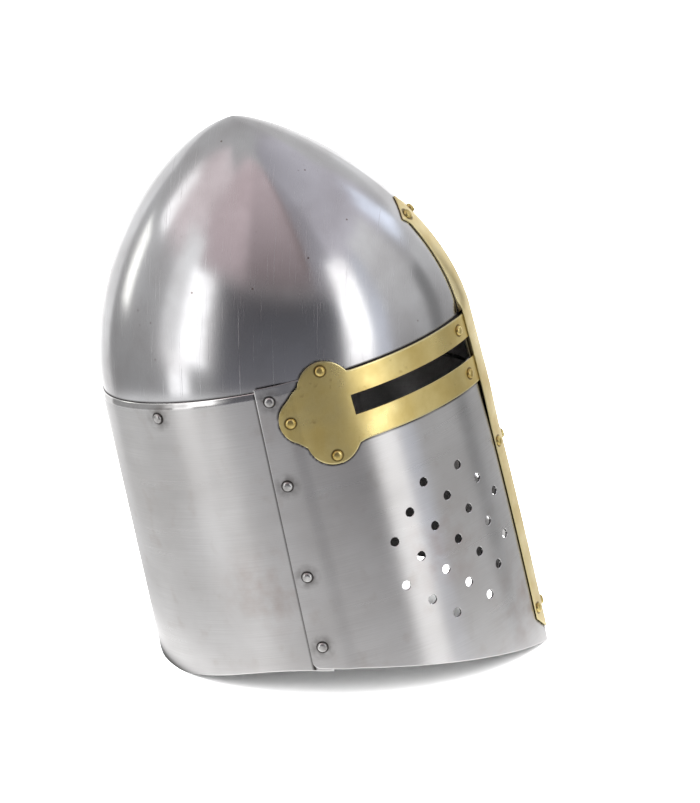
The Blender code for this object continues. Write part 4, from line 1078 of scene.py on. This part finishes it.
def add_card(name, az0, az1, el0, el1, radius, colour, low, high, soft):
    """A piece of a sphere about the helm, facing it and seen in reflections alone."""
    columns, rows = 2 + int((az1 - az0) / CARD_STEP), 2 + int((el1 - el0) / CARD_STEP)
    across, up = np.meshgrid(np.linspace(0.0, 1.0, columns), np.linspace(0.0, 1.0, rows))
    turn = CAMERA_AZIMUTH + np.radians(az0 + across * (az1 - az0))
    rise = np.radians(el0 + up * (el1 - el0))
    around = [np.cos(turn) * np.cos(rise), np.sin(turn) * np.cos(rise), np.sin(rise)]
    points = TARGET + radius * np.stack(around, -1).reshape(-1, 3)
    mesh = bpy.data.meshes.new(name)
    mesh.from_pydata(points.tolist(), [], grid_faces(rows, columns, 0, True))
    index = np.empty(len(mesh.loops), dtype=np.int32)
    mesh.loops.foreach_get("vertex_index", index)
    span = np.stack([across.ravel(), up.ravel()], -1)[index]
    mesh.uv_layers.new(name="span").data.foreach_set("uv", span.astype(np.float32).ravel())
    mesh.materials.append(glow(name, colour, low, high, soft, (az1 - az0, el1 - el0)))
    reflect_only(name, mesh)


def reflect_only(name, mesh):
    """A stage object that only reflections see."""
    card = bpy.data.objects.new(name, mesh)
    bpy.context.scene.collection.objects.link(card)
    for ray in ("camera", "diffuse", "transmission", "volume_scatter", "shadow"):
        setattr(card, "visible_" + ray, False)


def add_studio():
    """Pale floor, a white world, a big soft light overhead and the cards."""
    mesh = bpy.data.meshes.new("floor")
    reach = FLOOR_HALF_SIDE
    corners = [(-reach, -reach, 0), (reach, -reach, 0), (reach, reach, 0), (-reach, reach, 0)]
    mesh.from_pydata(corners, [], [(0, 1, 2, 3)])
    mesh.materials.append(matt_paper())
    floor = bpy.data.objects.new("floor", mesh)
    bpy.context.scene.collection.objects.link(floor)
    floor.visible_glossy = False
    # The lit patch of floor round the helm, as the metal reflects it
    turn = np.linspace(0.0, 2.0 * math.pi, PATCH_SIDES + 1)[:-1]
    ring = np.stack([np.cos(turn), np.sin(turn), 0.0 * turn], -1)
    points = np.concatenate([ring * PATCH_RADIUS, [[0.0, 0.0, 0.0]]]) + PATCH_CENTRE
    faces = [(j, (j + 1) % PATCH_SIDES, PATCH_SIDES) for j in range(PATCH_SIDES)]
    mesh = bpy.data.meshes.new("floor_patch")
    mesh.from_pydata(points.tolist(), [], faces)
    mesh.materials.append(lit_patch())
    reflect_only("floor_patch", mesh)
    world = bpy.data.worlds.new("studio")
    world.use_nodes = True
    background = world.node_tree.nodes["Background"]
    background.inputs["Color"].default_value = (1.0, 1.0, 1.0, 1.0)
    background.inputs["Strength"].default_value = SKY
    bpy.context.scene.world = world
    lamp = bpy.data.lights.new("overhead", "AREA")
    lamp.shape = "RECTANGLE"
    lamp.size = LAMP_SIDE
    lamp.size_y = LAMP_SIDE
    lamp.energy = LAMP_POWER
    overhead = bpy.data.objects.new("overhead", lamp)
    overhead.location = LAMP_PLACE
    overhead.visible_glossy = False
    bpy.context.scene.collection.objects.link(overhead)
    for row in CARDS:
        add_card(*row)


def lit_patch():
    """The floor's glow as the metal reflects it: black inside the helm's foot as painted shade, bright
    round it and fading out towards the rim of the patch."""
    made, tree = new_material("lit_patch")
    place = node(tree, PLACE, {})["Object"]
    # Distance from the middle of the helm's foot, 1 at its outline
    foot = {"Vector": place, "Scale": (1 / FOOT_HALF_WIDTH, 1 / FOOT_HALF_LENGTH, 1.0)}
    foot["Location"] = (0.0, FOOT_BEHIND / FOOT_HALF_LENGTH, 0.0)
    share = node(tree, VECTOR, {"operation": "LENGTH", 0: node(tree, MOVED, foot)["Vector"]})["Value"]
    # Black within the foot as painted shade under the helm, brightest just outside it, even from half a
    # foot away
    lit = node(tree, RANGE, {"Value": share, "From Min": 0.97, "From Max": 1.03, "To Min": 0.02})[0]
    level = {"Value": share, "From Min": 1.05, "From Max": 1.5, "To Min": 1.5, "To Max": FLOOR_GLOW}
    strength = node(tree, SUM, {"operation": "MULTIPLY", 0: lit, 1: node(tree, RANGE, level)[0]})[0]
    lamp = node(tree, SHINE, {"Strength": strength})["Emission"]
    off = node(tree, VECTOR, {"operation": "SUBTRACT", 0: place, 1: PATCH_CENTRE})[0]
    reach = node(tree, VECTOR, {"operation": "LENGTH", 0: off})["Value"]
    fade = {"Value": reach, "From Min": PATCH_FADES_FROM, "From Max": PATCH_RADIUS}
    fade = node(tree, RANGE, {"interpolation_type": "SMOOTHSTEP", **fade})[0]
    clear = node(tree, CLEAR, {})["BSDF"]
    node(tree, OUTPUT, {"Surface": node(tree, EITHER, {0: fade, 1: lamp, 2: clear})[0]})
    return made


def add_camera():
    """Camera at the photograph's angle, slightly rolled."""
    rise, turn = CAMERA_RISE, CAMERA_AZIMUTH
    back = np.array([math.cos(turn) * math.cos(rise), math.sin(turn) * math.cos(rise), math.sin(rise)])
    right = np.array([-math.sin(turn), math.cos(turn), 0.0])
    up = np.cross(back, right)
    right, up = (
        right * math.cos(CAMERA_ROLL) - up * math.sin(CAMERA_ROLL),
        right * math.sin(CAMERA_ROLL) + up * math.cos(CAMERA_ROLL),
    )
    data = bpy.data.cameras.new("camera")
    data.sensor_fit = "HORIZONTAL"
    data.sensor_width = 36.0
    data.lens = LENS
    camera = bpy.data.objects.new("camera", data)
    bpy.context.scene.collection.objects.link(camera)
    place = np.eye(4)
    place[:3, 0], place[:3, 1], place[:3, 2] = right, up, back
    place[:3, 3] = TARGET + CAMERA_DISTANCE * back
    camera.matrix_world = Matrix(place.tolist())
    bpy.context.scene.camera = camera


def dress(piece, finishes, slot, *nodes):
    """Give a piece its finishes, let it ride and stand for its CAD nodes."""
    piece.data.materials.clear()
    for finish in finishes:
        piece.data.materials.append(finish)
    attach(piece, "root")
    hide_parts(*nodes)


plan_of_rivets = rivet_rows()
places = {}
for name, arc, u, _, _ in plan_of_rivets:
    places.setdefault(name[: name.index("_")], []).append((arc, u))
ring_places = [(math.radians(angle) * HALF_WIDTH, -RING_RIVET_DROP) for angle in RING_RIVET_DEG]
polished = polished_steel()
inside = scaled_steel_painted_shade()
front = brushed_steel("brushed_steel", places["seam"], [(30.0, -225.0), (95.0, -150.0)])
rear = brushed_steel("brushed_steel_rear", ring_places, [(210.0, -150.0)])
on_band = places["lobe"] + places["band"]
band_brass = polished_brass("band_brass", "#F0DB96", "#D8C079", "#A38650", on_band)
# The strip's brass is paler than the band's: its colours are lightened as painted light for the stronger
# light on the strip
strip_brass = polished_brass("strip_brass", "#EEDFB2", "#DDC890", "#B09456", places["strip"])
iron = rivet_metal("burnished_iron", "#CFCECD", "#979492")
brass_wire = rivet_metal("brass_wire", "#E0CC8A", "#B39A58")

dress(make_skull(), (polished, inside), "polished_steel", "skull")
dress(make_back_plate(), (rear, inside), "brushed_steel", "back_plate")
face = make_face_plate()
opening = (SLOT_END + SLOT_MARGIN, SLOT_FOOT - SLOT_MARGIN, SLOT_TOP + SLOT_MARGIN)
face_slots = [slot_cutter(side, FACE_SLOT_START, *opening, 0.0) for side in (1, -1)]
cut(face, [breath_cutter(1), breath_cutter(-1)] + face_slots)
dress(face, (front, inside), "brushed_steel", "face_plate")
for side, mark in ((1, "right"), (-1, "left")):
    band = make_sight_band("sight_band_brass_" + mark, side)
    cut(band, [slot_cutter(side, SLOT_START, SLOT_END, SLOT_FOOT, SLOT_TOP, SIGHT_FLARE)])
    dress(band, (band_brass, band_brass), "brass", "sight_band_" + mark)
dress(make_face_strip(), (strip_brass, strip_brass), "brass", "face_strip")
for name, arc, u, over, under in plan_of_rivets:
    centre = arc > arc_of(math.pi, u) - HEAD_RADIUS
    for mark, side in {"_back": 1}.items() if centre else {"_right": 1, "_left": -1}.items():
        steel = name.startswith(("seam", "ring"))
        rivet = make_rivet(name + mark + "_head", side * arc, u, over, under)
        dress(rivet, (iron if steel else brass_wire,), "brushed_steel" if steel else "brass", name + mark)

add_studio()
add_camera()
bpy.context.scene.view_settings.view_transform = "Standard"
